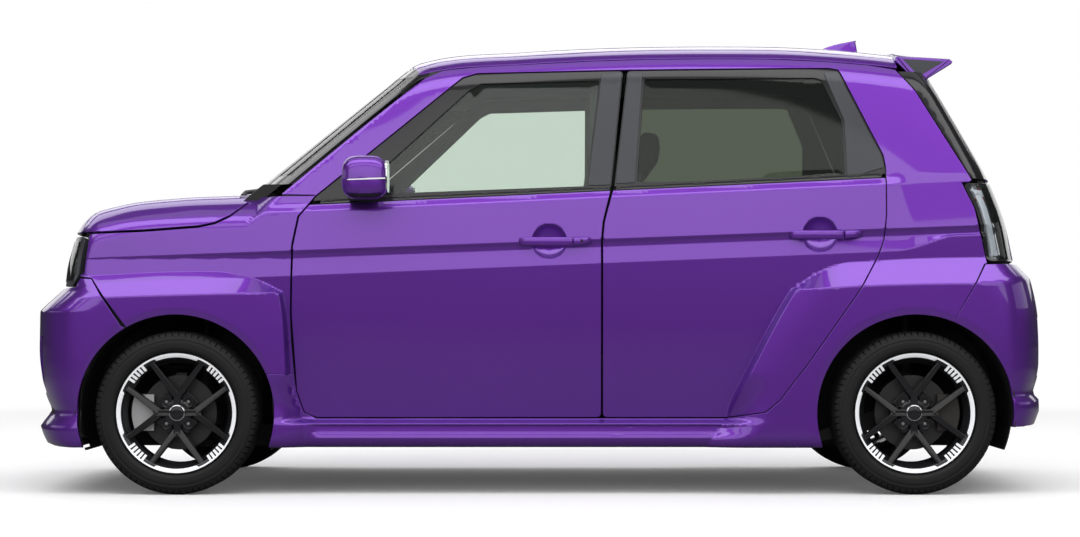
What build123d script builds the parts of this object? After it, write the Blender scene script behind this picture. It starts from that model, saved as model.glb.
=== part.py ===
"""Small high-roofed four-door hatchback with widened wings, in millimetres.

Own frame: -X is the front, -Y the car's left side, +Z up. The origin is on the ground, midway
between the bumpers' ends and between the left and right wings.
"""
from build123d import *
import math
import os

os.makedirs("parts", exist_ok=True)

# ---- overall sizes ----
FRONT_OVERHANG = 555.0
WHEELBASE = 2520.0
REAR_OVERHANG = 505.0
ROOF_HEIGHT = 1590.0
TRACK = 1350.0
TYRE_WIDTH = 185.0
WHEEL_INSET = 20.0
FLARE_REACH = 50.0
LENGTH = FRONT_OVERHANG + WHEELBASE + REAR_OVERHANG
NOSE_X = -LENGTH / 2
TAIL_X = LENGTH / 2
FRONT_AXLE_X = NOSE_X + FRONT_OVERHANG
REAR_AXLE_X = TAIL_X - REAR_OVERHANG
WHEEL_Y = TRACK / 2
HALF_WINGS = WHEEL_Y + TYRE_WIDTH / 2 + WHEEL_INSET
HALF_DOORS = HALF_WINGS - FLARE_REACH

# ---- gaps and walls ----
SHUT_GAP = 8.0
SEAT_GAP = 0.3
DOOR_WALL = 85.0
PILLAR_WALL = 46.0
ROOF_WALL = 32.0
GLASS = 4.0
GLASS_INSET = 9.0
SKIN = 40.0
JOIN_GAP = 0.6

# ---- heights of the lines that run along the side, at x = 0, with their rise per mm ----
BELT_Z, BELT_RISE = 1031.0, 0.047
GROOVE_Z, GROOVE_RISE = 864.0, 0.037
GROOVE_HEIGHT, GROOVE_DEPTH = 27.0, 8.0
CREASE_Z, CREASE_RISE = 783.0, 0.041
SHOULDER_DROP = 26.0
SILL_BOTTOM_Z = 156.0
SILL_TOP_Z = 257.0
WAIST_Z = 520.0
DOOR_FOOT_Z = 265.0
FLOOR_Z = 200.0
FLOOR_WALL = 24.0
REAR_FLOOR_Z = 400.0
REAR_FLOOR_X = REAR_AXLE_X - 347.0

# ---- half widths of the same lines ----
HALF_BELT = HALF_DOORS - 37.0
HALF_SHOULDER = HALF_DOORS - 20.0
HALF_GROOVE = HALF_DOORS - 9.0
HALF_FOOT = HALF_DOORS - 30.0
HALF_SILL = HALF_DOORS + 8.0
HALF_DRIP = HALF_DOORS - 141.5
DRIP_DROP = 112.0
EAVE_DROP = 58.0
HALF_EAVE = HALF_DOORS - 189.5

# ---- wheels ----
TYRE_RADIUS = 279.0
TYRE_WALL = 11.0
BEAD_RADIUS = 190.5
FLANGE_RADIUS = 207.0
RIM_WIDTH = 166.0
ARCH_RADIUS = 338.0
LINER_GAP = 2.0
LINER_WALL = 5.0
HOUSE_INNER_Y = WHEEL_Y - 263.0
KINGPIN_Y = WHEEL_Y - 55.0
DISC_RADIUS = 128.0
DISC_WALL = 20.0
DISC_INSET = 8.0
HUB_RADIUS = 62.0

# ---- the side view is drawn for one length and height, and fit() carries it to the sizes above ----
DRAWN_X = (-1790.0, -1580.0, -840.0, 885.0, 1630.0, 1790.0)
FITTED_X = (NOSE_X, FRONT_AXLE_X - 345.0, FRONT_AXLE_X + 395.0, REAR_AXLE_X - 400.0, REAR_AXLE_X + 345.0, TAIL_X)
DRAWN_Z = (0.0, 1060.0, 1590.0)
FITTED_Z = (0.0, 1060.0, ROOF_HEIGHT)
HULL_TOP_Z = ROOF_HEIGHT + 110.0


def carried(value, drawn, fitted):
    """A drawn place moved to its real one: stretched between the two marks on each side of it."""
    if value <= drawn[0]:
        return fitted[0] + value - drawn[0]
    for index in range(len(drawn) - 1):
        if value <= drawn[index + 1]:
            share = (value - drawn[index]) / (drawn[index + 1] - drawn[index])
            return fitted[index] + share * (fitted[index + 1] - fitted[index])
    return fitted[-1] + value - drawn[-1]


def at_x(x):
    return carried(x, DRAWN_X, FITTED_X)


def at_z(z):
    return carried(z, DRAWN_Z, FITTED_Z)


def fit(points):
    """Drawn (x, z) points moved to their real places."""
    return [(at_x(x), at_z(z)) for x, z in points]


def side_prism(points, y_low, y_high):
    """Solid between two Y planes whose side view is a closed outline of (x, z) points."""
    outline = Polyline(*[(x, y_high, z) for x, z in points], close=True)
    return extrude(make_face(outline), amount=y_high - y_low, dir=(0, -1, 0))


def grown_prism(points, grow, y_low, y_high):
    """The same, with the outline moved outwards all round by a gap."""
    outline = Polyline(*[(x, y_high, z) for x, z in points], close=True)
    face = offset(make_face(outline), amount=grow, kind=Kind.INTERSECTION)
    return extrude(face, amount=y_high - y_low, dir=(0, -1, 0))


def box_between(low, high):
    """Box from its lowest and highest corners."""
    size = [b - a for a, b in zip(low, high)]
    middle = [(a + b) / 2 for a, b in zip(low, high)]
    return Pos(*middle) * Box(*size)


def rod(start, end, radius):
    """Round bar between two points."""
    line = Vector(*end) - Vector(*start)
    base = Plane(origin=start, z_dir=line)
    return extrude(base * Circle(radius), amount=line.length)


def both_sides(solid):
    """A left solid and its mirror image on the right, as one shape of separate solids."""
    return Compound(children=[*solid.solids(), *mirror(solid, about=Plane.XZ).solids()])


def right_of(solid):
    return mirror(solid, about=Plane.XZ)


def save(name, shape):
    export_step(shape, f"parts/{name}.step")
    print(name, len(shape.solids()), round(shape.volume / 1000), "cm3")


# =====================================================================
# Outer surface
# =====================================================================
# Roof height on the centre line at each station along the cabin.
CABIN_STATIONS = (  # x, roof height below ROOF_HEIGHT
    (-1120.0, 110.0),
    (-360.0, 46.0),
    (-60.0, 22.0),
    (380.0, 2.0),
    (860.0, 2.0),
    (1300.0, 42.0),
    (1800.0, 110.0),
)
CROWN_SHARE = 0.62
CROWN_DROP = 14.0


def belt_at(x):
    return BELT_Z + BELT_RISE * x


def crease_at(x):
    return CREASE_Z + CREASE_RISE * x


def groove_at(x):
    return GROOVE_Z + GROOVE_RISE * x


def roof_line(half_drip, half_eave, roof):
    """Section points from the drip rail over the eave to the roof's centre."""
    return [(half_drip, roof - DRIP_DROP), (half_eave, roof - EAVE_DROP),
            (HALF_EAVE * CROWN_SHARE, roof - CROWN_DROP), (0, roof)]


def groove_points(x):
    groove = groove_at(x)
    return [(HALF_GROOVE, groove - GROOVE_HEIGHT), (HALF_GROOVE - GROOVE_DEPTH, groove - GROOVE_HEIGHT + 9),
            (HALF_GROOVE - GROOVE_DEPTH, groove - 4), (HALF_GROOVE, groove)]


def section_face(x, points):
    """Left half section on the plane at x, from (half width, height) points."""
    return make_face(Polyline(*[(x, -y, z) for y, z in points], close=True))


def cabin_section(x, drop, inset):
    """Left half of the cross-section through the cabin's skin, drawn in by an inset."""
    points = [(0, SILL_BOTTOM_Z), (HALF_SILL - 14, SILL_BOTTOM_Z), (HALF_SILL, SILL_BOTTOM_Z + 26),
              (HALF_SILL, SILL_TOP_Z - 14), (HALF_FOOT, SILL_TOP_Z), (HALF_GROOVE, WAIST_Z),
              (HALF_DOORS, crease_at(x)), *groove_points(x), (HALF_SHOULDER, belt_at(x) - SHOULDER_DROP),
              (HALF_BELT, belt_at(x))]
    points = [(max(y - inset, 0), z) for y, z in points]
    roof = ROOF_HEIGHT - drop - inset
    return section_face(x, points + roof_line(HALF_DRIP - inset, HALF_EAVE - inset, roof))


def cabin_hull(inset):
    """Left half of the body from the windscreen's foot to the tail, untrimmed."""
    return loft([cabin_section(at_x(x), drop, inset) for x, drop in CABIN_STATIONS], ruled=True)


def room_section(x, drop):
    """Left half of the cross-section of the hollow behind the doors, pillars and roof."""
    points = [(0, FLOOR_Z + FLOOR_WALL), (HALF_FOOT - DOOR_WALL, FLOOR_Z + FLOOR_WALL),
              (HALF_DOORS - DOOR_WALL, crease_at(x)), (HALF_BELT - PILLAR_WALL - 18, belt_at(x) - 60),
              (HALF_BELT - PILLAR_WALL, belt_at(x))]
    roof = ROOF_HEIGHT - drop - ROOF_WALL
    return section_face(x, points + roof_line(HALF_DRIP - PILLAR_WALL, HALF_EAVE - PILLAR_WALL, roof))


def room_hull():
    return loft([room_section(at_x(x), drop) for x, drop in CABIN_STATIONS], ruled=True)


NOSE_STATIONS = (-1800.0, -1120.0, -820.0)
BONNET_EDGE_Z = 912.0
BONNET_SHOULDER_Z = 985.0
BONNET_TOP_Z = 1052.0
HALF_BONNET_EDGE = HALF_DOORS - 20.0
HALF_BONNET_SHOULDER = HALF_DOORS - 62.0
HALF_BONNET_TOP = HALF_DOORS - 150.0


def nose_section(x, inset):
    """Left half of the cross-section through the bonnet and front wings."""
    points = [(0, SILL_BOTTOM_Z + inset), (HALF_FOOT - inset, SILL_BOTTOM_Z + inset),
              (HALF_GROOVE - inset, WAIST_Z), (HALF_DOORS - inset, crease_at(x))]
    if inset == 0:
        points += groove_points(x)
    points += [(HALF_BONNET_EDGE - inset, BONNET_EDGE_Z),
               (HALF_BONNET_SHOULDER - inset, BONNET_SHOULDER_Z - inset / 2),
               (HALF_BONNET_TOP - inset, BONNET_TOP_Z - 26 - inset), (0, BONNET_TOP_Z - inset)]
    return section_face(x, points)


def nose_hull(inset):
    return loft([nose_section(at_x(x), inset) for x in NOSE_STATIONS], ruled=True)


# Side silhouette on the centre line, clockwise from under the chin. Three points make an arc.
SILHOUETTE = (
    ((-1590, 158), (-1762, 167)),
    ((-1762, 167), (-1786, 225)),
    ((-1786, 225), (-1742, 280)),
    ((-1742, 280), (-1760, 320)),
    ((-1760, 320), (-1778, 375)),
    ((-1778, 375), (-1790, 470)),
    ((-1790, 470), (-1786, 628)),
    ((-1786, 628), (-1757, 655)),
    ((-1757, 655), (-1700, 706)),
    ((-1700, 706), (-1690, 792)),
    ((-1690, 792), (-1662, 905)),
    ((-1662, 905), (-1590, 978), (-1460, 1020)),
    ((-1460, 1020), (-1270, 1046), (-1080, 1052)),
    ((-1080, 1052), (-1034, 1057)),
    ((-1034, 1057), (-463, 1515)),
    ((-463, 1515), (-420, 1535), (-370, 1545)),
    ((-370, 1545), (420, 1600), (1262, 1553)),
    ((1262, 1553), (1372, 1490)),
    ((1372, 1490), (1600, 1111)),
    ((1600, 1111), (1668, 960), (1698, 800)),
    ((1698, 800), (1758, 738)),
    ((1758, 738), (1773, 680)),
    ((1773, 680), (1784, 619)),
    ((1784, 619), (1790, 517)),
    ((1790, 517), (1790, 432)),
    ((1790, 432), (1780, 385)),
    ((1780, 385), (1768, 350)),
    ((1768, 350), (1772, 333)),
    ((1772, 333), (1790, 318)),
    ((1790, 318), (1789, 278)),
    ((1789, 278), (1771, 231)),
    ((1771, 231), (1600, 231)),
    ((1600, 231), (1560, 158)),
    ((1560, 158), (-1590, 158)),
)


def silhouette(inset):
    """The side silhouette as a face on the XZ plane, drawn in by an inset."""
    edges = []
    for run in SILHOUETTE:
        points = [(x, 0, z) for x, z in fit(run)]
        edges.append(ThreePointArc(*points) if len(points) == 3 else Line(*points))
    face = make_face(Wire(edges))
    if inset:
        face = offset(face, amount=-inset, kind=Kind.INTERSECTION)
    return face


def silhouette_prism(inset):
    return extrude(silhouette(inset), amount=HALF_WINGS + 200.0, dir=(0, -1, 0))


CORNER_DEPTH = 250.0
CORNER_BOW = 75.0
CORNER_HALF = HALF_WINGS - 147.5
FLAT_HALF = HALF_WINGS - 387.5
FLAT_BOW = 10.0


def plan_prism(inset):
    """Left half of the plan outline, from the ground to above the roof."""
    nose, tail, half = NOSE_X + inset, TAIL_X - inset, HALF_WINGS - inset
    edges = [
        Line((nose, 0), (nose + FLAT_BOW, -FLAT_HALF)),
        ThreePointArc((nose + FLAT_BOW, -FLAT_HALF), (nose + CORNER_BOW, -CORNER_HALF), (nose + CORNER_DEPTH, -half)),
        Line((nose + CORNER_DEPTH, -half), (tail - CORNER_DEPTH, -half)),
        ThreePointArc((tail - CORNER_DEPTH, -half), (tail - CORNER_BOW, -CORNER_HALF), (tail - FLAT_BOW, -FLAT_HALF)),
        Line((tail - FLAT_BOW, -FLAT_HALF), (tail, 0)),
        Line((tail, 0), (nose, 0)),
    ]
    return extrude(make_face(Wire(edges)), amount=ROOF_HEIGHT + 200)


# Windscreen: an arc in plan at the foot and at the head, which bows forward on the centre line.
SCREEN_FOOT, SCREEN_HEAD = fit(((-1034.0, 1057.0), (-463.0, 1515.0)))
SCREEN_BOW = 105.0
SCREEN_REACH = HALF_DOORS + 22.5


def screen_cutter(shift):
    """What lies ahead of the windscreen's curved surface, moved back along X by a shift."""
    slope = (SCREEN_HEAD[0] - SCREEN_FOOT[0]) / (SCREEN_HEAD[1] - SCREEN_FOOT[1])
    faces = []
    for z in (SCREEN_FOOT[1] - 130, SCREEN_HEAD[1] + 160):
        x = SCREEN_FOOT[0] + slope * (z - SCREEN_FOOT[1]) + shift
        bow = ThreePointArc((x + SCREEN_BOW, -SCREEN_REACH, z), (x, 0, z), (x + SCREEN_BOW, SCREEN_REACH, z))
        back = Polyline((x + SCREEN_BOW, SCREEN_REACH, z), (x - 900, SCREEN_REACH, z),
                        (x - 900, -SCREEN_REACH, z), (x + SCREEN_BOW, -SCREEN_REACH, z))
        faces.append(make_face(Wire([*bow.edges(), *back.edges()])))
    return loft(faces, ruled=True)


# Flares: side outline where they leave the body, and of their flat outer face.
FLARE_ROOT_Y = HALF_DOORS - 2.0
FLARE_DEPTH = 45.0
FRONT_FLARE = (  # x and z at the root, x and z at the outer face
    ((-1800, 744), (-1800, 656)),
    ((-1520, 751), (-1520, 672)),
    ((-1240, 763), (-1240, 681)),
    ((-1026, 758), (-1026, 686)),
    ((-950, 731), (-960, 687)),
    ((-872, 690), (-884, 686)),
    ((-847, 420), (-859, 420)),
    ((-842, 100), (-854, 100)),
    ((-1800, 100), (-1800, 100)),
)
REAR_FLARE = (
    ((864, 697), (880, 696)),
    ((1024, 788), (1060, 710)),
    ((1140, 799), (1150, 714)),
    ((1526, 812), (1526, 720)),
    ((1800, 806), (1800, 712)),
    ((1800, 100), (1800, 100)),
    ((640, 100), (760, 100)),
    ((636, 262), (700, 262)),
    ((646, 284), (668, 284)),
    ((731, 456), (750, 456)),
)


def flare(table):
    """Left flare: a ruled solid between its root outline and its flat outer face, on a foot inside the body."""
    faces = []
    for column, y in ((0, FLARE_ROOT_Y), (1, HALF_WINGS)):
        faces.append(make_face(Polyline(*[(x, -y, z) for x, z in fit([row[column] for row in table])], close=True)))
    foot = side_prism(fit([row[0] for row in table]), -FLARE_ROOT_Y - SEAT_GAP, -FLARE_ROOT_Y + FLARE_DEPTH)
    return loft(faces, ruled=True) + foot


def arch(axle_x, radius, y_low, y_high):
    """Cylinder about an axle on the left side, between two distances from the centre plane."""
    base = Plane(origin=(axle_x, -y_low, TYRE_RADIUS), z_dir=(0, -1, 0))
    return extrude(base * Circle(radius), amount=y_high - y_low)


# Side outlines (x, z) of the panels. A pair that shares a shut line is parted by SHUT_GAP.
FRONT_DOOR = fit((
    (-763, 1020), (-818, 949), (-838, 850), (-843, 618), (-826, 353), (-801, 282), (-762, DOOR_FOOT_Z),
    (213, DOOR_FOOT_Z), (213, 871), (219, 934), (249, 1056), (293, 1462), (-212, 1452), (-262, 1436),
))
REAR_DOOR = fit((
    (223, DOOR_FOOT_Z), (640, DOOR_FOOT_Z), (772, 286), (819, 325), (921, 458), (1086, 693),
    (1157, 811), (1180, 874), (1188, 957), (1190, 1120), (1183, 1164), (1041, 1464), (1010, 1470),
    (310, 1462), (262, 1056), (229, 934), (223, 871),
))
FRONT_WINDOW = fit((
    (-545, 1122), (-505, 1022), (167, 1055), (215, 1432), (-200, 1420), (-240, 1398),
))
REAR_WINDOW = fit((
    (336, 1067), (1056, 1083), (1051, 1285), (985, 1432), (960, 1440), (366, 1436),
))
BONNET = fit((
    (-1900, 896), (-1552, 896), (-1350, 904), (-1165, 918), (-1110, 930), (-1060, 955), (-985, 1024),
    (-900, 1100), (-1900, 1100),
))
NOSE_BAND = fit((
    (-1900, 712), (-1592, 712), (-1576, 745), (-1560, 757), (-1544, 890), (-1900, 890),
))
FRONT_BUMPER = fit((
    (-1900, 100), (-1399, 100), (-1399, 576), (-1528, 740), (-1576, 740), (-1592, 706), (-1900, 706),
))
WING = fit((
    (-1396, 100), (-1396, 576), (-1525, 744), (-1572, 748), (-1556, 757), (-1540, 892), (-1350, 899),
    (-1165, 913), (-1106, 926), (-1056, 951), (-972, 1024), (-770, 1024), (-826, 953), (-847, 853),
    (-853, 618), (-853, 413), (-1100, 413), (-1100, 100),
))
TAILGATE_UPPER = fit((
    (1240, 1700), (1240, 1530), (1297, 1490), (1525, 1111), (1545, 1085), (1900, 1085), (1900, 1700),
))
TAILGATE_LOWER = fit((
    (1562, 800), (1562, 1085), (1900, 1085), (1900, 800),
))
REAR_BUMPER = fit((
    (1422, 100), (1422, 604), (1527, 790), (1900, 790), (1900, 100),
))
TAIL_LAMP = fit((
    (1455, 1092), (1500, 980), (1535, 800), (1900, 794), (1900, 1092),
))
HALF_TAILGATE = HALF_DOORS - 162.5
HALF_GRILLE = HALF_DOORS - 307.5
HALF_ROOF_PANEL = HALF_EAVE + 8.0
ROOF_PANEL_X = (at_x(-560), at_x(1240))
ROOF_PANEL_FOOT_Z = at_z(1420.0)
REBATE_DEPTH = 22.0
REBATE = 8.0
BULKHEAD_X = at_x(-1000.0)
BULKHEAD_WALL = 36.0
TAILGATE_WALL = 55.0
SCREEN_FRAME = 62.0
COWL_DEPTH = 28.0
LIMIT_Y = HALF_WINGS + 60

# ---- the outer hull and the hollows in it, left half ----
print("hulls")
cabin = cabin_hull(0) - screen_cutter(0)
outer = cabin + nose_hull(0) + flare(FRONT_FLARE) + flare(REAR_FLARE)
outer = outer & silhouette_prism(0) & plan_prism(0)
for axle_x in (FRONT_AXLE_X, REAR_AXLE_X):
    outer -= arch(axle_x, ARCH_RADIUS, HOUSE_INNER_Y, LIMIT_Y)

cabin_room = room_hull() & silhouette_prism(TAILGATE_WALL) & plan_prism(DOOR_WALL)
cabin_room -= screen_cutter(SCREEN_FRAME)
cabin_room &= box_between((BULKHEAD_X + BULKHEAD_WALL / 2, -LIMIT_Y, 0), (TAIL_X, 0, HULL_TOP_Z))
nose_room = nose_hull(SKIN) & plan_prism(SKIN + 50)
nose_room &= box_between((NOSE_X, -LIMIT_Y, 0), (BULKHEAD_X + 100, 0, HULL_TOP_Z))
nose_room &= silhouette_prism(34)
nose_room += box_between((NOSE_X + 90, -HALF_DOORS + 130, 100), (BULKHEAD_X - 60, 0, 400))
nose_room &= box_between((NOSE_X, -LIMIT_Y, 0), (BULKHEAD_X - BULKHEAD_WALL / 2, 0, HULL_TOP_Z))
under_room = box_between((BULKHEAD_X - BULKHEAD_WALL / 2, -HOUSE_INNER_Y - 150, 100), (TAIL_X - 70, 0, FLOOR_Z))
tail_room = box_between((REAR_FLOOR_X + 20, -HALF_DOORS + 110, 100), (TAIL_X - 70, 0, FLOOR_Z + FLOOR_WALL + 10))
shell = outer - cabin_room - nose_room - under_room - tail_room
print("shell", len(shell.solids()), shell.is_valid)


def take(region):
    """Cut a region out of what is left of the shell."""
    return shell & region


# ---- opening panels ----
bonnet = take(side_prism(BONNET, -LIMIT_Y, 0)) & screen_cutter(-COWL_DEPTH - SHUT_GAP)
shell -= side_prism(BONNET, -LIMIT_Y, 0) & screen_cutter(-COWL_DEPTH)
upper = side_prism(TAILGATE_UPPER, -LIMIT_Y, 0)
lower = side_prism(TAILGATE_LOWER, -HALF_TAILGATE, 0)
tailgate = take(upper + lower)
shell -= grown_prism(TAILGATE_UPPER, SHUT_GAP, -LIMIT_Y, 0)
shell -= grown_prism(TAILGATE_LOWER, SHUT_GAP, -HALF_TAILGATE - SHUT_GAP, 0)
deep_side = cabin_hull(REBATE_DEPTH)
SIDE_REACH = (-LIMIT_Y, -HALF_DOORS + 337.5)


def door_from(outline):
    """A door cut from the shell, with a rebate round its inner face."""
    return take(side_prism(outline, *SIDE_REACH)) - (deep_side - grown_prism(outline, -REBATE, *SIDE_REACH))


front_door = door_from(FRONT_DOOR)
rear_door = door_from(REAR_DOOR)
shell -= grown_prism(FRONT_DOOR, SHUT_GAP, *SIDE_REACH)
shell -= grown_prism(REAR_DOOR, SHUT_GAP, *SIDE_REACH)

# ---- door windows and their glass ----
glazing = cabin_hull(GLASS_INSET) - cabin_hull(GLASS_INSET + GLASS)
front_glass = glazing & side_prism(FRONT_WINDOW, *SIDE_REACH)
rear_door_glass = glazing & side_prism(REAR_WINDOW, *SIDE_REACH)
front_door -= side_prism(FRONT_WINDOW, *SIDE_REACH)
rear_door -= side_prism(REAR_WINDOW, *SIDE_REACH)

# ---- tailgate window: a hole seen from behind, its glass 5 mm inside the skin ----
HALF_REAR_GLASS = (HALF_DOORS - 177.5, HALF_DOORS - 237.5)
REAR_GLASS_Z = (at_z(1108.0), at_z(1440.0))
hole = Polyline((TAIL_X + 100, 0, REAR_GLASS_Z[0]), (TAIL_X + 100, -HALF_REAR_GLASS[0], REAR_GLASS_Z[0]),
                (TAIL_X + 100, -HALF_REAR_GLASS[1], REAR_GLASS_Z[1]), (TAIL_X + 100, 0, REAR_GLASS_Z[1]), close=True)
rear_hole = extrude(make_face(hole), amount=700.0, dir=(-1, 0, 0))
rear_slab = silhouette_prism(GLASS_INSET) - silhouette_prism(GLASS_INSET + GLASS)
rear_glass = rear_slab & rear_hole & plan_prism(0) & cabin_hull(0) & (upper + lower)
tailgate -= rear_hole

# ---- windscreen, roof, bulkhead and cowl ----
SCREEN_HALF = (HALF_DOORS - 97.5, HALF_DOORS - 217.5)
SCREEN_Z = (at_z(1066.0), at_z(1500.0))
HOLE_X = at_x(-1300.0)
hole = Polyline((HOLE_X, 0, SCREEN_Z[0]), (HOLE_X, -SCREEN_HALF[0], SCREEN_Z[0]),
                (HOLE_X, -SCREEN_HALF[1], SCREEN_Z[1]), (HOLE_X, 0, SCREEN_Z[1]), close=True)
screen_hole = extrude(make_face(hole), amount=1100.0, dir=(1, 0, 0)) & screen_cutter(SCREEN_FRAME + 30)
windscreen = outer & screen_hole & screen_cutter(GLASS + 1.0)
shell -= screen_hole
roof_region = box_between((ROOF_PANEL_X[0], -HALF_ROOF_PANEL, ROOF_PANEL_FOOT_Z), (ROOF_PANEL_X[1], 0, HULL_TOP_Z))
roof = take(roof_region)
shell -= roof_region
bulkhead_region = box_between((BULKHEAD_X - 40, -HALF_DOORS + DOOR_WALL + 20, 0), (BULKHEAD_X + 120, 0, SCREEN_Z[0]))
bulkhead = take(bulkhead_region)
shell -= bulkhead_region

# ---- bumpers, wings, nose and lamps ----
front_bumper = take(side_prism(FRONT_BUMPER, -LIMIT_Y, 0))
shell -= grown_prism(FRONT_BUMPER, JOIN_GAP, -LIMIT_Y, 0)
rear_bumper = take(side_prism(REAR_BUMPER, -LIMIT_Y, 0))
shell -= grown_prism(REAR_BUMPER, JOIN_GAP, -LIMIT_Y, 0)
nose_band = side_prism(NOSE_BAND, -LIMIT_Y, 0)
headlamp = take(nose_band & box_between((NOSE_X, -LIMIT_Y, 0), (0, -HALF_GRILLE, HULL_TOP_Z)))
grille_panel = take(nose_band & box_between((NOSE_X, -HALF_GRILLE, 0), (0, 0, HULL_TOP_Z)))
shell -= grown_prism(NOSE_BAND, JOIN_GAP, -LIMIT_Y, 0)
wing = take(side_prism(WING, *SIDE_REACH))
shell -= grown_prism(WING, JOIN_GAP, *SIDE_REACH)
tail_lamp_region = side_prism(TAIL_LAMP, -LIMIT_Y, -HALF_TAILGATE - SHUT_GAP)
tail_lamp = take(tail_lamp_region)
shell -= tail_lamp_region

# ---- flat seats for the number plates, with their screw holes ----
PLATE_HOLE_RADIUS = 3.0
PLATE_HOLE_HALF = 105.0
PLATE_HOLE_DEPTH = 60.0
PLATE_SEAT_HALF = 170.0
PLATE_SEAT_HEIGHT = 176.0
PLATE_SEAT_DEPTH = 20.0
FRONT_PLATE_Z = 440.0
REAR_PLATE_Z = 480.0


def plate_seat(end_x, inward, z):
    """What is cut away for a number plate on a bumper's end: a flat seat and one screw hole."""
    seat_x = end_x + inward * PLATE_SEAT_DEPTH
    xs = sorted((end_x - inward, seat_x))
    half = PLATE_SEAT_HEIGHT / 2
    cut = box_between((xs[0], -PLATE_SEAT_HALF, z - half), (xs[1], 0, z + half))
    hole_end = (seat_x + inward * PLATE_HOLE_DEPTH, -PLATE_HOLE_HALF, z)
    return cut + rod((seat_x, -PLATE_HOLE_HALF, z), hole_end, PLATE_HOLE_RADIUS)


front_bumper -= plate_seat(NOSE_X, 1, FRONT_PLATE_Z)
rear_bumper -= plate_seat(TAIL_X, -1, REAR_PLATE_Z)

# ---- door handles: a bar on two feet over a bowl in the panel ----
HANDLE_LENGTH = 256.0
HANDLE_HEIGHT = 30.0
HANDLE_THICKNESS = 15.0
HANDLE_REACH = 36.0
HANDLE_FOOT = 34.0
BOWL_RADIUS = 62.0
BOWL_CENTRE_OUT = 30.0
FRONT_HANDLE = (at_x(-70.0), 865.0)
REAR_HANDLE = (at_x(856.0), 888.0)


def with_handle(door, start_x, z):
    """A door with its handle: the bar's front end is at start_x and its middle at height z."""
    back_y = -HALF_GROOVE + GROOVE_DEPTH + 4.0
    middle_x = start_x + 0.42 * HANDLE_LENGTH
    low_z, high_z = z - HANDLE_HEIGHT / 2, z + HANDLE_HEIGHT / 2
    outer_y = -HALF_GROOVE + GROOVE_DEPTH - HANDLE_REACH
    door -= Pos(middle_x, -HALF_GROOVE - BOWL_CENTRE_OUT, z) * Sphere(BOWL_RADIUS)
    bar = box_between((start_x, outer_y, low_z), (start_x + HANDLE_LENGTH, outer_y + HANDLE_THICKNESS, high_z))
    feet = (start_x, start_x + HANDLE_LENGTH - HANDLE_FOOT)
    for foot_x in feet:
        bar += box_between((foot_x, outer_y, low_z), (foot_x + HANDLE_FOOT, back_y, high_z))
    return door + bar


front_door = with_handle(front_door, *FRONT_HANDLE)
rear_door = with_handle(rear_door, *REAR_HANDLE)

# ---- floor, side frames ----
SILL_INNER_Y = HALF_DOORS - 137.5
floor_region = box_between((BULKHEAD_X - 40, -SILL_INNER_Y, FLOOR_Z - 1),
                           (REAR_FLOOR_X + 40, 0, FLOOR_Z + FLOOR_WALL))
floor_half = take(floor_region)
shell -= floor_region
side_frame = max(shell.solids(), key=lambda solid: solid.volume)
JACK_PAD = (80.0, 40.0, 7.0)
JACK_PAD_Y = HALF_DOORS - 77.5
SIDE_BOTTOM_Z = SILL_BOTTOM_Z + 2.0
for pad_x in (at_x(-700.0), at_x(620.0)):
    side_frame += box_between((pad_x - JACK_PAD[0] / 2, -JACK_PAD_Y - JACK_PAD[1] / 2, SIDE_BOTTOM_Z - JACK_PAD[2]),
                              (pad_x + JACK_PAD[0] / 2, -JACK_PAD_Y + JACK_PAD[1] / 2, SIDE_BOTTOM_Z + 2.0))

# Front pillar behind the wing, and the door hinges' leaves in the shut gaps.
FRONT_POST_X = (at_x(-879.0), at_x(-834.0))
FRONT_POST_Y = (SILL_INNER_Y + SEAT_GAP, SILL_INNER_Y + 21.0)
FRONT_LEAF_Y = (SILL_INNER_Y + 12.0, SILL_INNER_Y + 82.0)
LEAF_HEIGHT = 44.0
FRONT_LEAF_Z = (430.0, 840.0)
REAR_LEAF_X = (at_x(217.0), at_x(300.0))
REAR_LEAF_Y = (SILL_INNER_Y + 18.0, SILL_INNER_Y + 84.0)
front_post = box_between((FRONT_POST_X[0], -FRONT_POST_Y[1], FLOOR_Z), (FRONT_POST_X[1], -FRONT_POST_Y[0], 1000))
for z in FRONT_LEAF_Z:
    leaf = box_between((FRONT_POST_X[0], -FRONT_LEAF_Y[1], z),
                       (FRONT_POST_X[1] + 60, -FRONT_LEAF_Y[0], z + LEAF_HEIGHT))
    leaf -= grown_prism(FRONT_DOOR, SEAT_GAP - REBATE, *SIDE_REACH)
    front_post += leaf - grown_prism(WING, SEAT_GAP, *SIDE_REACH)
side_frame = max((side_frame + front_post).solids(), key=lambda solid: solid.volume)

POST_X = (at_x(178.0), at_x(268.0))
POST_WALL = 34.0
POST_GAP = 10.0
post_outer = ((HALF_FOOT - DOOR_WALL - POST_GAP, FLOOR_Z + FLOOR_WALL), (HALF_DOORS - DOOR_WALL - POST_GAP - 5, 783),
              (HALF_BELT - PILLAR_WALL - 28, 971), (HALF_BELT - PILLAR_WALL - 28, 1110),
              (HALF_DRIP - PILLAR_WALL - POST_GAP, at_z(1424)),
              (HALF_DRIP - PILLAR_WALL - POST_GAP - 26, at_z(1464)))
post_line = [*post_outer, *[(y - POST_WALL, z) for y, z in reversed(post_outer)]]
post_face = make_face(Polyline(*[(POST_X[0], -y, z) for y, z in post_line], close=True))
middle_post = extrude(post_face, amount=POST_X[1] - POST_X[0], dir=(1, 0, 0))
for z in FRONT_LEAF_Z:
    leaf = box_between((REAR_LEAF_X[0], -REAR_LEAF_Y[1], z), (REAR_LEAF_X[1], -REAR_LEAF_Y[0], z + LEAF_HEIGHT))
    leaf -= grown_prism(REAR_DOOR, SEAT_GAP - REBATE, *SIDE_REACH)
    middle_post += leaf

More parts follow.
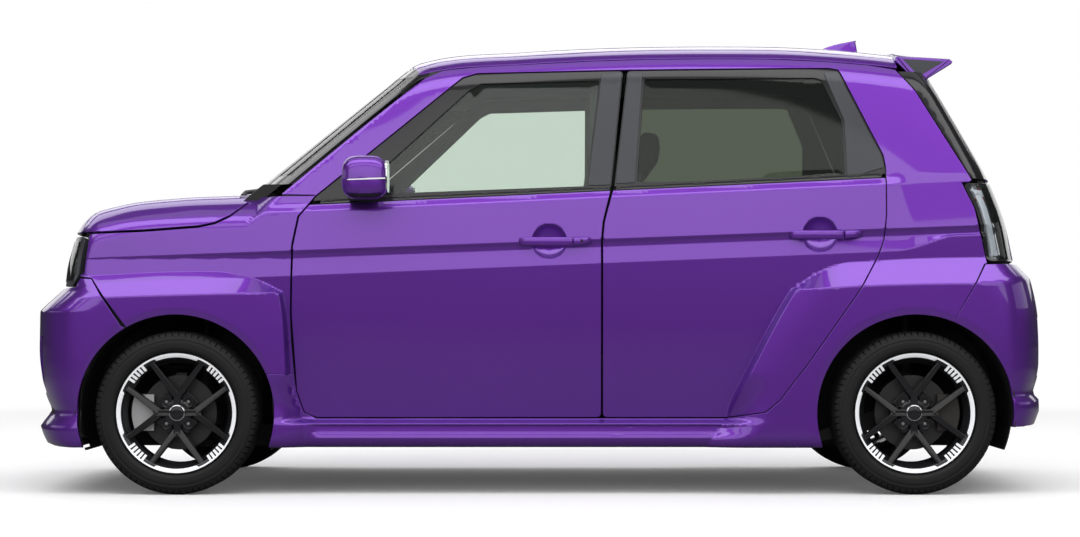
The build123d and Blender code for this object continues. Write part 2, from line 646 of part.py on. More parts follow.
# ---- wheel houses ----
HOUSE_FOOT_Z = 150.0
ARM_SLOT_X = 104.0
ARM_SLOT_TOP_Z = 432.0


def wheel_house(axle_x, slots, outer_y, neighbours):
    """Left liner over a wheel with its inner wall."""
    inner_radius = ARCH_RADIUS + LINER_GAP
    house = arch(axle_x, inner_radius + LINER_WALL, HOUSE_INNER_Y - LINER_WALL, outer_y)
    house -= arch(axle_x, inner_radius, HOUSE_INNER_Y, LIMIT_Y)
    house -= box_between((axle_x - 500, -LIMIT_Y, 0), (axle_x + 500, 0, HOUSE_FOOT_Z))
    for slot in slots:
        house -= slot
    for neighbour in neighbours:
        house -= neighbour
    return max(house.solids(), key=lambda solid: solid.volume)


TRAIL_ARM_Y = (WHEEL_Y - 175.0, WHEEL_Y - 130.0)
front_slot = box_between((FRONT_AXLE_X - ARM_SLOT_X, -HOUSE_INNER_Y - 2, 0),
                         (FRONT_AXLE_X + ARM_SLOT_X, -HOUSE_INNER_Y + 40, ARM_SLOT_TOP_Z))
arm_slot = box_between((REAR_AXLE_X - 400, -TRAIL_ARM_Y[1] - 10, 0), (REAR_AXLE_X - 250, -TRAIL_ARM_Y[0] + 10, 275))
beam_slot = box_between((REAR_AXLE_X - 190, -HOUSE_INNER_Y - 2, 0), (REAR_AXLE_X + 60, -HOUSE_INNER_Y + 40, 340))
rear_slots = (arm_slot, beam_slot)
front_neighbours = (wing, front_bumper, bulkhead, floor_half, side_frame)
front_house = wheel_house(FRONT_AXLE_X, (front_slot,), HALF_DOORS - 32.5, front_neighbours)
rear_house = wheel_house(REAR_AXLE_X, rear_slots, HALF_DOORS - 57.5, (side_frame, rear_bumper, floor_half))

rear_floor = box_between((REAR_FLOOR_X, -HOUSE_INNER_Y + LINER_WALL, REAR_FLOOR_Z),
                         (TAIL_X - 74, 0, REAR_FLOOR_Z + FLOOR_WALL))
rear_floor += box_between((REAR_FLOOR_X, -HOUSE_INNER_Y + LINER_WALL, FLOOR_Z),
                          (REAR_FLOOR_X + 20, 0, REAR_FLOOR_Z + 1))
for neighbour in (rear_bumper, side_frame, tailgate):
    rear_floor -= neighbour
floor_half = floor_half + rear_floor

# ---- running gear ----
DISC_Y = (WHEEL_Y - DISC_INSET, WHEEL_Y - DISC_INSET + DISC_WALL)
HAT_RADIUS = 68.0
CALIPER_REACH = (84.0, 160.0)
CALIPER_HALF = 62.0
CALIPER_Y = (WHEEL_Y - 35.0, WHEEL_Y + 32.0)
DISC_CLEAR = 5.0
UPRIGHT_Z = (174.0, 399.7)
UPRIGHT_HALF = 27.0
UPRIGHT_Y = (WHEEL_Y - 73.0, WHEEL_Y - 39.0)
HUB_SHANK_RADIUS = 34.0
LOWER_ARM_Z = (150.0, 173.7)
UPPER_ARM_Z = (400.0, 414.0)
SUBFRAME_Y = WHEEL_Y - 295.0
DAMPER_Y = WHEEL_Y - 210.0
DAMPER_SHIFT = 62.0
DAMPER_X = FRONT_AXLE_X + DAMPER_SHIFT
DAMPER_RADIUS = 32.0
DAMPER_ROD_RADIUS = 11.0
HOUSE_RADIUS = ARCH_RADIUS + LINER_GAP
DAMPER_TOP_Z = TYRE_RADIUS + math.sqrt(HOUSE_RADIUS ** 2 - (DAMPER_SHIFT + DAMPER_ROD_RADIUS) ** 2) - SEAT_GAP
REAR_DAMPER_TOP_Z = TYRE_RADIUS + math.sqrt(HOUSE_RADIUS ** 2 - DAMPER_ROD_RADIUS ** 2) - SEAT_GAP


def caliper(axle_x, side):
    """Brake caliper that straddles a disc, ahead of (-1) or behind (+1) the axle."""
    near, far = CALIPER_REACH
    ends = sorted((axle_x + side * near, axle_x + side * far))
    block = box_between((ends[0], -CALIPER_Y[1], TYRE_RADIUS - CALIPER_HALF),
                        (ends[1], -CALIPER_Y[0], TYRE_RADIUS + CALIPER_HALF))
    block &= arch(axle_x, far, CALIPER_Y[0] - 10, CALIPER_Y[1] + 10)
    block -= arch(axle_x, DISC_RADIUS + DISC_CLEAR, DISC_Y[0] - DISC_CLEAR, DISC_Y[1] + DISC_CLEAR)
    bridge = sorted((axle_x, axle_x + side * (near + 20)))
    return block + box_between((bridge[0], -CALIPER_Y[0] - 18, TYRE_RADIUS - 30),
                               (bridge[1], -CALIPER_Y[0] + 8, TYRE_RADIUS + 30))


def upright(axle_x, side):
    """Hub carrier with its bearing shank and caliper."""
    body = box_between((axle_x - UPRIGHT_HALF, -UPRIGHT_Y[1], UPRIGHT_Z[0]),
                       (axle_x + UPRIGHT_HALF, -UPRIGHT_Y[0], UPRIGHT_Z[1]))
    body += arch(axle_x, HUB_SHANK_RADIUS, UPRIGHT_Y[0], DISC_Y[0] - SEAT_GAP)
    return body + caliper(axle_x, side)


knuckle = upright(FRONT_AXLE_X, -1)
lower_arm = box_between((FRONT_AXLE_X - 34, -KINGPIN_Y - 18, LOWER_ARM_Z[0]),
                        (FRONT_AXLE_X + 34, -SUBFRAME_Y + 2, LOWER_ARM_Z[1]))
lower_arm += box_between((FRONT_AXLE_X - 34, -DAMPER_Y - 40, LOWER_ARM_Z[0]),
                         (DAMPER_X + 30, -SUBFRAME_Y + 2, LOWER_ARM_Z[1]))
upper_arm = box_between((FRONT_AXLE_X - 19, -KINGPIN_Y - 14, UPPER_ARM_Z[0]),
                        (FRONT_AXLE_X + 19, -SUBFRAME_Y + 2, UPPER_ARM_Z[1]))
RAIL_Y = (WHEEL_Y - 335.0, WHEEL_Y - 273.0)
RAIL_Z = (300.0, 360.0)
rail = box_between((NOSE_X + 96, -RAIL_Y[1], RAIL_Z[0]), (BULKHEAD_X - 42, -RAIL_Y[0], RAIL_Z[1]))
rail -= front_bumper
rail -= bulkhead
cross = box_between((FRONT_AXLE_X - 120, -SUBFRAME_Y - 22, LOWER_ARM_Z[0]), (FRONT_AXLE_X + 120, 0, 214))
cross += box_between((FRONT_AXLE_X - 60, -RAIL_Y[1], 200), (FRONT_AXLE_X + 60, -RAIL_Y[0], 416))
SHAFT_HOLE_RADIUS = 22.0
DRIVE_HALF = 300.0
shaft_hole = rod((FRONT_AXLE_X, -KINGPIN_Y, TYRE_RADIUS), (FRONT_AXLE_X, -DRIVE_HALF, TYRE_RADIUS), SHAFT_HOLE_RADIUS)
subframe_half = cross + rail + lower_arm + upper_arm - shaft_hole
damper = rod((DAMPER_X, -DAMPER_Y, LOWER_ARM_Z[1] + SEAT_GAP), (DAMPER_X, -DAMPER_Y, 200), DAMPER_ROD_RADIUS)
damper += rod((DAMPER_X, -DAMPER_Y, 200), (DAMPER_X, -DAMPER_Y, 540), DAMPER_RADIUS)
damper += rod((DAMPER_X, -DAMPER_Y, 540), (DAMPER_X, -DAMPER_Y, DAMPER_TOP_Z), DAMPER_ROD_RADIUS)

ARM_FRONT_X = REAR_FLOOR_X - 52.0
arm_line = ((ARM_FRONT_X, 158), (ARM_FRONT_X + 39, 158), (REAR_AXLE_X + 34, 246), (REAR_AXLE_X + 34, 312),
            (REAR_AXLE_X - 34, 312), (REAR_FLOOR_X + 24, FLOOR_Z - SEAT_GAP), (ARM_FRONT_X, FLOOR_Z - SEAT_GAP))
trail_arm = side_prism(arm_line, -TRAIL_ARM_Y[1], -TRAIL_ARM_Y[0])
beam = rod((REAR_AXLE_X - 150, 0, 250), (REAR_AXLE_X - 150, -TRAIL_ARM_Y[0] - 5, 250), 30)
rear_upright = box_between((REAR_AXLE_X - 34, -UPRIGHT_Y[1], TYRE_RADIUS - 33),
                           (REAR_AXLE_X + 34, -TRAIL_ARM_Y[0], TYRE_RADIUS + 33))
rear_upright += arch(REAR_AXLE_X, HUB_SHANK_RADIUS, UPRIGHT_Y[0], DISC_Y[0] - SEAT_GAP) + caliper(REAR_AXLE_X, 1)
rear_axle_half = trail_arm + beam + rear_upright
REAR_DAMPER_AT = (REAR_AXLE_X, -TRAIL_ARM_Y[0] - 22.0)
rear_damper = rod((*REAR_DAMPER_AT, 312 + SEAT_GAP), (*REAR_DAMPER_AT, 560), DAMPER_RADIUS - 4)
rear_damper += rod((*REAR_DAMPER_AT, 560), (*REAR_DAMPER_AT, REAR_DAMPER_TOP_Z), DAMPER_ROD_RADIUS)

# ---- wheels: axis along Y, outer face towards -Y ----
HUB_BACK = -22.0
SPOKE_FAN = 27.5
SPOKE_ROOT_HALF, SPOKE_TIP_HALF = 17.0, 12.0
SPOKE_SPLIT_RADIUS = 62.0


def turned(profile):
    """Solid of revolution about the wheel's axis from (radius, y) points."""
    face = make_face(Polyline(*[(r, y, 0) for r, y in profile], close=True))
    return revolve(face, axis=Axis.Y)


def rim_solid():
    edge = RIM_WIDTH / 2
    barrel = turned(((FLANGE_RADIUS, -edge), (FLANGE_RADIUS, -edge + 7), (BEAD_RADIUS, -edge + 9), (BEAD_RADIUS, -58),
                     (177, -44), (177, 22), (BEAD_RADIUS, 42), (BEAD_RADIUS, edge - 9), (FLANGE_RADIUS, edge - 7),
                     (FLANGE_RADIUS, edge), (BEAD_RADIUS - 5, edge), (BEAD_RADIUS - 7, 40), (170, 20), (170, -42),
                     (BEAD_RADIUS - 7, -60), (193, -edge)))
    band = turned(((36, -60), (60, -60), (189, -73), (189, -52), (60, -36), (36, -36)))
    spokes = []
    for quarter in range(4):
        for lean in (-1, 1):
            tip = math.radians(90 * quarter + lean * SPOKE_FAN)
            root = math.radians(90 * quarter)
            start = Vector(math.cos(root) * SPOKE_SPLIT_RADIUS * 0.5, 0, math.sin(root) * SPOKE_SPLIT_RADIUS * 0.5)
            end = Vector(math.cos(tip) * 188, 0, math.sin(tip) * 188)
            along = (end - start).normalized()
            across = Vector(-along.Z, 0, along.X)
            corners = [start + across * SPOKE_ROOT_HALF, end + across * SPOKE_TIP_HALF,
                       end - across * SPOKE_TIP_HALF, start - across * SPOKE_ROOT_HALF]
            face = make_face(Polyline(*[(c.X, 0, c.Z) for c in corners], close=True))
            spokes.append(extrude(face, amount=100, dir=(0, -1, 0)))
    star = spokes[0].fuse(*spokes[1:]) & band
    hub = turned(((0, -58), (26, -62), (32, -60), (HUB_RADIUS, -60), (HUB_RADIUS, HUB_BACK), (0, HUB_BACK)))
    return barrel + star + hub


def tyre_solid():
    """Hollow tyre: tread, shoulders, bulged walls and beads, turned as one ring."""
    bead, half = BEAD_RADIUS + SEAT_GAP, TYRE_WIDTH / 2
    seat = RIM_WIDTH / 2 - 9 - SEAT_GAP
    outer_side = [(bead, seat), (FLANGE_RADIUS + 2, seat), (FLANGE_RADIUS + 8, half - 6), (238, half),
                  (258, half - 3), (270, half - 9), (TYRE_RADIUS - 2, half - 17), (TYRE_RADIUS, half - 26)]
    inner_side = [(TYRE_RADIUS - TYRE_WALL - 3, half - 30), (240, half - TYRE_WALL), (215, half - TYRE_WALL - 10),
                  (bead, seat - 13)]
    section = [*outer_side, *[(r, -y) for r, y in reversed(outer_side)],
               *[(r, -y) for r, y in reversed(inner_side)], *inner_side]
    return turned(section)


def disc_solid():
    back, front = WHEEL_Y - DISC_Y[0], WHEEL_Y - DISC_Y[1]
    return turned(((0, HUB_BACK), (HAT_RADIUS, HUB_BACK), (HAT_RADIUS, front), (DISC_RADIUS, front),
                   (DISC_RADIUS, back), (0, back)))


rim, tyre, disc = rim_solid(), tyre_solid(), disc_solid()
print("rim", len(rim.solids()), rim.is_valid, "tyre", len(tyre.solids()), tyre.is_valid)

# ---- heavy masses ----
drive_unit = box_between((FRONT_AXLE_X - 265, -DRIVE_HALF, 214 + SEAT_GAP), (FRONT_AXLE_X + 145, DRIVE_HALF, 700))
shaft = rod((FRONT_AXLE_X, -KINGPIN_Y + 45, TYRE_RADIUS), (FRONT_AXLE_X, -DRIVE_HALF + 1, TYRE_RADIUS), 13)
drive_unit += shaft + right_of(shaft)
battery_pack = box_between((at_x(-460), -480, SIDE_BOTTOM_Z), (at_x(850), 480, FLOOR_Z - SEAT_GAP))

# ---- cabin ----
TRIM_HALF = HALF_DOORS - DOOR_WALL - 14.0
SEAT_Y = (105.0, HALF_DOORS - 162.5)
DASH_FRONT_X = BULKHEAD_X + BULKHEAD_WALL / 2 + SEAT_GAP
dash_line = fit(((-905, 1024), (-740, 1016), (-640, 960), (-620, 900), (-690, 790), (-800, 700), (-860, 640)))
dashboard = side_prism([(DASH_FRONT_X, 640), (DASH_FRONT_X, 985), *dash_line], -TRIM_HALF + 12, 0)
dashboard -= screen_cutter(GLASS + 12)
dashboard -= box_between((FRONT_POST_X[0] - 3, -LIMIT_Y, FLOOR_Z),
                         (FRONT_POST_X[1] + 24, -FRONT_POST_Y[0] + 3, 1100))
dashboard = dashboard + mirror(dashboard, about=Plane.XZ)
SEAT_X = at_x(0.0)
seat_side = [(SEAT_X + x, z) for x, z in (
    (-330, 420), (-340, 520), (-310, 552), (-60, 548), (60, 530), (150, 545), (318, 1085), (350, 1100),
    (392, 1085), (398, 1040), (232, 470), (190, 415))]
headrest_side = [(SEAT_X + x, z) for x, z in (
    (338, 1112), (360, 1258), (385, 1272), (432, 1262), (440, 1240), (408, 1112))]
front_seat = side_prism(seat_side, -SEAT_Y[1], -SEAT_Y[0])
front_seat += side_prism(headrest_side, -(sum(SEAT_Y) / 2) - 130, -(sum(SEAT_Y) / 2) + 130)
for post_y in (-70, 70):
    middle_y = -(sum(SEAT_Y) / 2) + post_y
    front_seat += rod((SEAT_X + 362, middle_y, 1080), (SEAT_X + 372, middle_y, 1120), 7)
front_seat += box_between((SEAT_X - 280, -SEAT_Y[1] + 30, FLOOR_Z + FLOOR_WALL + SEAT_GAP),
                          (SEAT_X + 190, -SEAT_Y[0] - 30, 425))
BENCH_HALF = HALF_DOORS - 177.5
bench_side = [(REAR_FLOOR_X + x, z) for x, z in (
    (-238, 400), (-248, 520), (-218, 548), (42, 530), (122, 545), (242, 1050), (277, 1064), (322, 1050),
    (328, 1010), (212, 480), (162, REAR_FLOOR_Z + FLOOR_WALL + SEAT_GAP),
    (-4, REAR_FLOOR_Z + FLOOR_WALL + SEAT_GAP), (-4, REAR_FLOOR_Z))]
bench_rest = [(REAR_FLOOR_X + x, z) for x, z in (
    (254, 1066), (276, 1190), (300, 1204), (338, 1194), (346, 1172), (324, 1046))]
bench_half = side_prism(bench_side, -BENCH_HALF, 0)
bench_half += side_prism(bench_rest, -BENCH_HALF + 130, -190)
bench_half += box_between((REAR_FLOOR_X - 198, -BENCH_HALF + 20, FLOOR_Z + FLOOR_WALL + SEAT_GAP),
                          (REAR_FLOOR_X - 38, 0, 405))
bench_half -= arch(REAR_AXLE_X, HOUSE_RADIUS + LINER_WALL + 4, HOUSE_INNER_Y - LINER_WALL - 6, LIMIT_Y)
WHEEL_RIM_RADIUS = 176.0
steering_wheel = Torus(WHEEL_RIM_RADIUS, 14)
for angle in (90, 210, 330):
    turn = math.radians(angle)
    steering_wheel += rod((0, 0, -18), (WHEEL_RIM_RADIUS * math.cos(turn), WHEEL_RIM_RADIUS * math.sin(turn), 0), 11)
steering_wheel += Pos(0, 0, -14) * Cylinder(62, 36)
steering_wheel += Pos(0, 0, -150) * Cylinder(28, 250)
STEERING_WHEEL_AT = (at_x(-460.0), 340.0, 905.0)
steering_wheel = Pos(*STEERING_WHEEL_AT) * Rot(0, 62, 0) * steering_wheel
steering_wheel = max((steering_wheel - dashboard).solids(), key=lambda solid: solid.volume)

# ---- outside pieces ----
spoiler_side = fit(((1250, 1558), (1262, 1553), (1372, 1490), (1392, 1458), (1480, 1513), (1492, 1522),
                    (1482, 1530), (1262, 1566)))
spoiler_under = fit(((1395, 1440), (1372, 1490), (1300, 1535), (1476, 1518), (1500, 1500)))
spoiler = side_prism(spoiler_side, -HALF_EAVE, 0) - tailgate
spoiler -= side_prism(spoiler_under, -HALF_EAVE + 28, 0)
mirror_line = fit(((-664, 1045), (-660, 1105), (-636, 1140), (-600, 1152), (-520, 1150), (-506, 1130), (-508, 1060),
                   (-530, 1028), (-560, 1012), (-636, 1016)))
mirror_foot = fit(((-640, 1000), (-560, 1000), (-560, 1044), (-640, 1044)))
mirror_case = side_prism(mirror_line, -HALF_DOORS - 167.5, -HALF_DOORS - 10.5)
mirror_case += side_prism(mirror_foot, -HALF_DOORS - 32.5, -HALF_DOORS + 67.5)
mirror_left = mirror_case - front_door - front_glass
mirror_left = max(mirror_left.solids(), key=lambda solid: solid.volume)
fin = side_prism(fit(((1036, 1560), (1060, 1588), (1110, 1596), (1178, 1636), (1190, 1632), (1196, 1550))), -9, 9)


def whole(half):
    """A half that reaches the centre plane, joined to its mirror image."""
    return half + mirror(half, about=Plane.XZ)


roof = whole(roof)
fin -= roof
# Tailgate hinge leaves on the roof's rear edge.
TAILGATE_FRONT_X = ROOF_PANEL_X[1]
LEAF_Z = (at_z(1526.0), at_z(1540.0))
for y in (-400, 400):
    leaf = box_between((TAILGATE_FRONT_X - 30, y - 20, LEAF_Z[0]), (TAILGATE_FRONT_X - SEAT_GAP, y + 20, LEAF_Z[1]))
    fin += leaf - roof
body_nodes = {
    "side_frame_left": side_frame + middle_post,
    "roof": roof + fin,
    "floor_pan": whole(floor_half),
    "bulkhead": whole(max(bulkhead.solids(), key=lambda solid: solid.volume)),
    "wheel_houses": both_sides(Compound(children=[front_house, rear_house])),
    "front_bumper": whole(front_bumper),
    "rear_bumper": whole(rear_bumper),
    "wing_left": wing,
    "grille_panel": whole(grille_panel),
    "headlamps": both_sides(headlamp),
    "tail_lamps": both_sides(tail_lamp),
    "windscreen": whole(windscreen),
    "dashboard": dashboard,
    "steering_wheel": steering_wheel,
    "seats_front": both_sides(front_seat),
    "seat_rear": whole(bench_half),
    "drive_unit": drive_unit,
    "battery_pack": battery_pack,
    "front_subframe": whole(subframe_half),
    "rear_axle": whole(rear_axle_half),
    "dampers": both_sides(Compound(children=[damper, rear_damper])),
    "bonnet": whole(bonnet),
    "tailgate": whole(tailgate),
    "rear_glass": whole(rear_glass),
    "spoiler": whole(spoiler),
    "front_door_left": front_door,
    "front_door_glass_left": front_glass,
    "rear_door_left": rear_door,
    "rear_door_glass_left": rear_door_glass,
    "mirror_left": mirror_left,
    "knuckle_left": knuckle,
}
for name, shape in body_nodes.items():
    save(name, shape)
    if name.endswith("_left"):
        save(name.replace("_left", "_right"), right_of(shape))
for corner, axle_x in (("front", FRONT_AXLE_X), ("rear", REAR_AXLE_X)):
    for piece, shape in (("rim", rim), ("tyre", tyre), ("disc", disc)):
        placed = Pos(axle_x, -WHEEL_Y, TYRE_RADIUS) * shape
        save(f"{piece}_{corner}_left", placed)
        save(f"{piece}_{corner}_right", right_of(placed))
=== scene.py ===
"""Looks of a small high-roofed hatchback with widened wings, built round its CAD frame.

Row frame in metres: -X is the front, -Y the car's left side, +Z up. Shapes are drawn in
millimetres and made into metres when a mesh is built.
"""
import logging
import math
from dataclasses import dataclass
from enum import Enum
from typing import Callable, Optional, Sequence

import bmesh
import bpy
import numpy as np
from mathutils import Matrix, Vector
from mathutils.geometry import delaunay_2d_cdt


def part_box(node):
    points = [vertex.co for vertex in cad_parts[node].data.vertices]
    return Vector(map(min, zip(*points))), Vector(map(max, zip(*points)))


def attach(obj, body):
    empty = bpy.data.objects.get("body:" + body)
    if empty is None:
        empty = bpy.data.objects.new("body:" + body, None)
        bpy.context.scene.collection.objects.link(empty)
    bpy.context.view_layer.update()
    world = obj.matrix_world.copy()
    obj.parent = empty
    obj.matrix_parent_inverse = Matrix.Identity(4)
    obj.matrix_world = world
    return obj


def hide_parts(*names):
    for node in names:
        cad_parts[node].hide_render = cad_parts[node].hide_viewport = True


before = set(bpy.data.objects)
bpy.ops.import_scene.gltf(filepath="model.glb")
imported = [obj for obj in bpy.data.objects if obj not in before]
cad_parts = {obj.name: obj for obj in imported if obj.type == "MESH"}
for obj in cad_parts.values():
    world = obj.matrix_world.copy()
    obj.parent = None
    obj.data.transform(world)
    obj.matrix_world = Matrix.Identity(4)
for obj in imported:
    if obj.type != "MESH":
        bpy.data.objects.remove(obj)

logging.basicConfig(level=logging.INFO, format="%(message)s")
log = logging.getLogger("car")

MM = 0.001
SIDES = {"left": -1.0, "right": 1.0}
Points = Sequence[tuple[float, float]]

# Driving sizes, read from the frame where it has them.
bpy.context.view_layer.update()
TYRE_LOW, TYRE_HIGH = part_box("tyre_front_left")
REAR_TYRE_LOW, REAR_TYRE_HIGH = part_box("tyre_rear_left")
TYRE_RADIUS = (TYRE_HIGH.z - TYRE_LOW.z) / 2 / MM
TYRE_WIDTH = (TYRE_HIGH.y - TYRE_LOW.y) / MM
FRONT_AXLE_X = (TYRE_LOW.x + TYRE_HIGH.x) / 2 / MM
REAR_AXLE_X = (REAR_TYRE_LOW.x + REAR_TYRE_HIGH.x) / 2 / MM
WHEEL_Y = -(TYRE_LOW.y + TYRE_HIGH.y) / 2 / MM
NOSE_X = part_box("front_bumper")[0].x / MM
TAIL_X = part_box("rear_bumper")[1].x / MM
HALF_WINGS = -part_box("rear_bumper")[0].y / MM
HALF_DOORS = HALF_WINGS - 50.0
ARCH_RADIUS = TYRE_RADIUS + 59.0
SILL_Z = 158.0


# =====================================================================
# Shader graphs
# =====================================================================
class Socket:
    """A node's output that takes part in sums."""

    def __init__(self, graph: "Graph", output: bpy.types.NodeSocket) -> None:
        """Keep the output and its graph."""
        self.graph = graph
        self.output = output

    def _math(self, operation: str, first: object, second: object) -> "Socket":
        """A Math node of two values."""
        return self.graph.node("ShaderNodeMath", {0: first, 1: second}, operation=operation)

    def __add__(self, other: object) -> "Socket":
        """Sum."""
        return self._math("ADD", self, other)

    def __radd__(self, other: object) -> "Socket":
        """Sum, reflected."""
        return self._math("ADD", other, self)

    def __sub__(self, other: object) -> "Socket":
        """Difference."""
        return self._math("SUBTRACT", self, other)

    def __rsub__(self, other: object) -> "Socket":
        """Difference, reflected."""
        return self._math("SUBTRACT", other, self)

    def __mul__(self, other: object) -> "Socket":
        """Product."""
        return self._math("MULTIPLY", self, other)

    def __rmul__(self, other: object) -> "Socket":
        """Product, reflected."""
        return self._math("MULTIPLY", other, self)

    def __truediv__(self, other: object) -> "Socket":
        """Quotient."""
        return self._math("DIVIDE", self, other)

    def __rtruediv__(self, other: object) -> "Socket":
        """Quotient, reflected."""
        return self._math("DIVIDE", other, self)

    def __pow__(self, other: object) -> "Socket":
        """Power."""
        return self._math("POWER", self, other)

    def above(self, limit: float) -> "Socket":
        """1 where the value is above a limit, else 0."""
        return self._math("GREATER_THAN", self, limit)

    def largest(self, other: object) -> "Socket":
        """The larger of two values."""
        return self._math("MAXIMUM", self, other)


class Graph:
    """A material's or world's nodes."""

    def __init__(self, owner: bpy.types.ID) -> None:
        """Empty the owner's node tree.

        Args:
            owner: A material or a world.
        """
        owner.use_nodes = True
        self.tree = owner.node_tree
        self.tree.nodes.clear()

    def put(self, socket: bpy.types.NodeSocket, value: object) -> None:
        """Link or set one input."""
        if isinstance(value, Socket):
            self.tree.links.new(value.output, socket)
        elif value is not None:
            socket.default_value = value

    def node(self, kind: str, inputs: Optional[dict] = None, output: object = 0, **settings) -> Socket:
        """Any node.

        Args:
            kind: The node's type.
            inputs: Values or sockets by input index or name.
            output: The output's index or name.
            settings: The node's own properties.

        Returns:
            The chosen output.
        """
        made = self.tree.nodes.new(kind)
        for key, value in settings.items():
            setattr(made, key, value)
        for key, value in (inputs or {}).items():
            self.put(made.inputs[key], value)
        return Socket(self, made.outputs[output])

    def place(self) -> Socket:
        """Object coordinates."""
        return self.node("ShaderNodeTexCoord", output="Object")

    def noise(self, scale: float, detail: float = 3.0, where: Optional[Socket] = None) -> Socket:
        """Noise on Object coordinates, from 0 to 1."""
        spot = where or self.place()
        return self.node("ShaderNodeTexNoise", {"Vector": spot, "Scale": scale, "Detail": detail})

    def stretched(self, scale: tuple[float, float, float]) -> Socket:
        """Object coordinates stretched along each axis."""
        return self.node("ShaderNodeVectorMath", {0: self.place(), 1: scale}, operation="MULTIPLY")

    def blend(self, share: object, first: object, second: object) -> Socket:
        """A colour between two."""
        made = self.tree.nodes.new("ShaderNodeMix")
        made.data_type = "RGBA"
        colours = [s for s in made.inputs if s.type == "RGBA"]
        self.put(made.inputs[0], share)
        for socket, value in zip(colours, (first, second)):
            self.put(socket, (*value, 1.0) if isinstance(value, tuple) else value)
        return Socket(self, next(s for s in made.outputs if s.type == "RGBA"))

    def finish(self, shader: Socket) -> None:
        """Send a shader to the output."""
        self.node_output = self.tree.nodes.new("ShaderNodeOutputMaterial")
        self.tree.links.new(shader.output, self.node_output.inputs["Surface"])


class Grain(Enum):
    """The small relief of a surface."""

    PEEL = "orange peel"
    MOULD = "moulded grain"
    CAST = "cast metal"
    WEAVE = "woven cloth"
    BRUSH = "turned or brushed lines"
    RUBBER = "rubber"


@dataclass(frozen=True)
class Finish:
    """An opaque surface: its colours, its gloss and its small relief."""

    name: str
    colour: tuple[float, float, float]
    tint: tuple[float, float, float]
    roughness: float
    spread: float = 0.05
    metallic: float = 0.0
    specular: float = 0.4
    coat: float = 0.0
    patches: float = 6.0
    grain: Grain = Grain.MOULD
    grain_scale: float = 900.0
    grain_depth: float = 0.15
    glow: float = 0.0

    def build(self) -> bpy.types.Material:
        """Make the material.

        Returns:
            A material on Object coordinates.
        """
        material = bpy.data.materials.new(self.name)
        graph = Graph(material)
        patches = graph.noise(self.patches, 4.0)
        fine = graph.noise(self.grain_scale / 3, 2.0)
        colour = graph.blend(patches * 0.7 + fine * 0.3, self.colour, self.tint)
        roughness = self.roughness + (patches + fine - 1.0) * self.spread
        shader = graph.tree.nodes.new("ShaderNodeBsdfPrincipled")
        graph.put(shader.inputs["Base Color"], colour)
        graph.put(shader.inputs["Roughness"], roughness)
        graph.put(shader.inputs["Metallic"], self.metallic)
        graph.put(shader.inputs["Specular IOR Level"], self.specular)
        graph.put(shader.inputs["Coat Weight"], self.coat)
        graph.put(shader.inputs["Coat Roughness"], 0.04)
        graph.put(shader.inputs["Coat IOR"], 1.38)
        # Glow emits the surface's own colour: right for a lamp, painted light on any other part.
        if self.glow:
            graph.put(shader.inputs["Emission Color"], colour)
            graph.put(shader.inputs["Emission Strength"], self.glow)
        bump = graph.node("ShaderNodeBump", {"Strength": self.grain_depth, "Distance": 0.0006,
                                            "Height": self.relief(graph)})
        graph.put(shader.inputs["Normal"], bump)
        graph.finish(Socket(graph, shader.outputs[0]))
        return material

    def relief(self, graph: Graph) -> Socket:
        """Height of the small relief.

        Args:
            graph: The material's nodes.

        Returns:
            A height from about 0 to 1.
        """
        if self.grain is Grain.WEAVE:
            across = graph.node("ShaderNodeTexWave", {"Vector": graph.place(), "Scale": self.grain_scale,
                                                     "Distortion": 0.4}, output=1, bands_direction="Y")
            along = graph.node("ShaderNodeTexWave", {"Vector": graph.place(), "Scale": self.grain_scale,
                                                    "Distortion": 0.4}, output=1, bands_direction="Z")
            return across * 0.5 + along * 0.5
        if self.grain is Grain.BRUSH:
            return graph.noise(self.grain_scale, 2.0, graph.stretched((1.0, 14.0, 1.0)))
        if self.grain is Grain.CAST:
            cells = graph.node("ShaderNodeTexVoronoi", {"Vector": graph.place(), "Scale": self.grain_scale})
            return cells * 0.6 + graph.noise(self.grain_scale * 0.4) * 0.4
        if self.grain is Grain.MOULD:
            cells = graph.node("ShaderNodeTexVoronoi", {"Vector": graph.place(), "Scale": self.grain_scale})
            return 1.0 - cells
        return graph.noise(self.grain_scale, 2.0)


@dataclass(frozen=True)
class PaintFinish(Finish):
    """Metallic paint under a clear coat: fine flakes and a shade that turns deeper at a slant."""

    deep: tuple[float, float, float] = (0.10, 0.025, 0.26)

    def build(self) -> bpy.types.Material:
        """Make the paint."""
        material = bpy.data.materials.new(self.name)
        graph = Graph(material)
        flakes = graph.node("ShaderNodeTexVoronoi", {"Vector": graph.place(), "Scale": 2600.0})
        cloud = graph.noise(self.patches, 2.0)
        base = graph.blend(flakes * 0.5 + cloud * 0.3, self.colour, self.tint)
        slant = graph.node("ShaderNodeLayerWeight", {"Blend": 0.35}, output="Facing")
        colour = graph.blend(slant, base, self.deep)
        shader = graph.tree.nodes.new("ShaderNodeBsdfPrincipled")
        graph.put(shader.inputs["Base Color"], colour)
        graph.put(shader.inputs["Roughness"], self.roughness + (flakes - 0.5) * self.spread)
        graph.put(shader.inputs["Metallic"], self.metallic)
        graph.put(shader.inputs["Specular IOR Level"], self.specular)
        graph.put(shader.inputs["Coat Weight"], self.coat)
        graph.put(shader.inputs["Coat Roughness"], 0.03)
        graph.put(shader.inputs["Coat IOR"], 1.5)
        bump = graph.node("ShaderNodeBump", {"Strength": self.grain_depth, "Distance": 0.0004,
                                            "Height": graph.noise(self.grain_scale, 1.0)})
        graph.put(shader.inputs["Normal"], bump)
        graph.finish(Socket(graph, shader.outputs[0]))
        return material


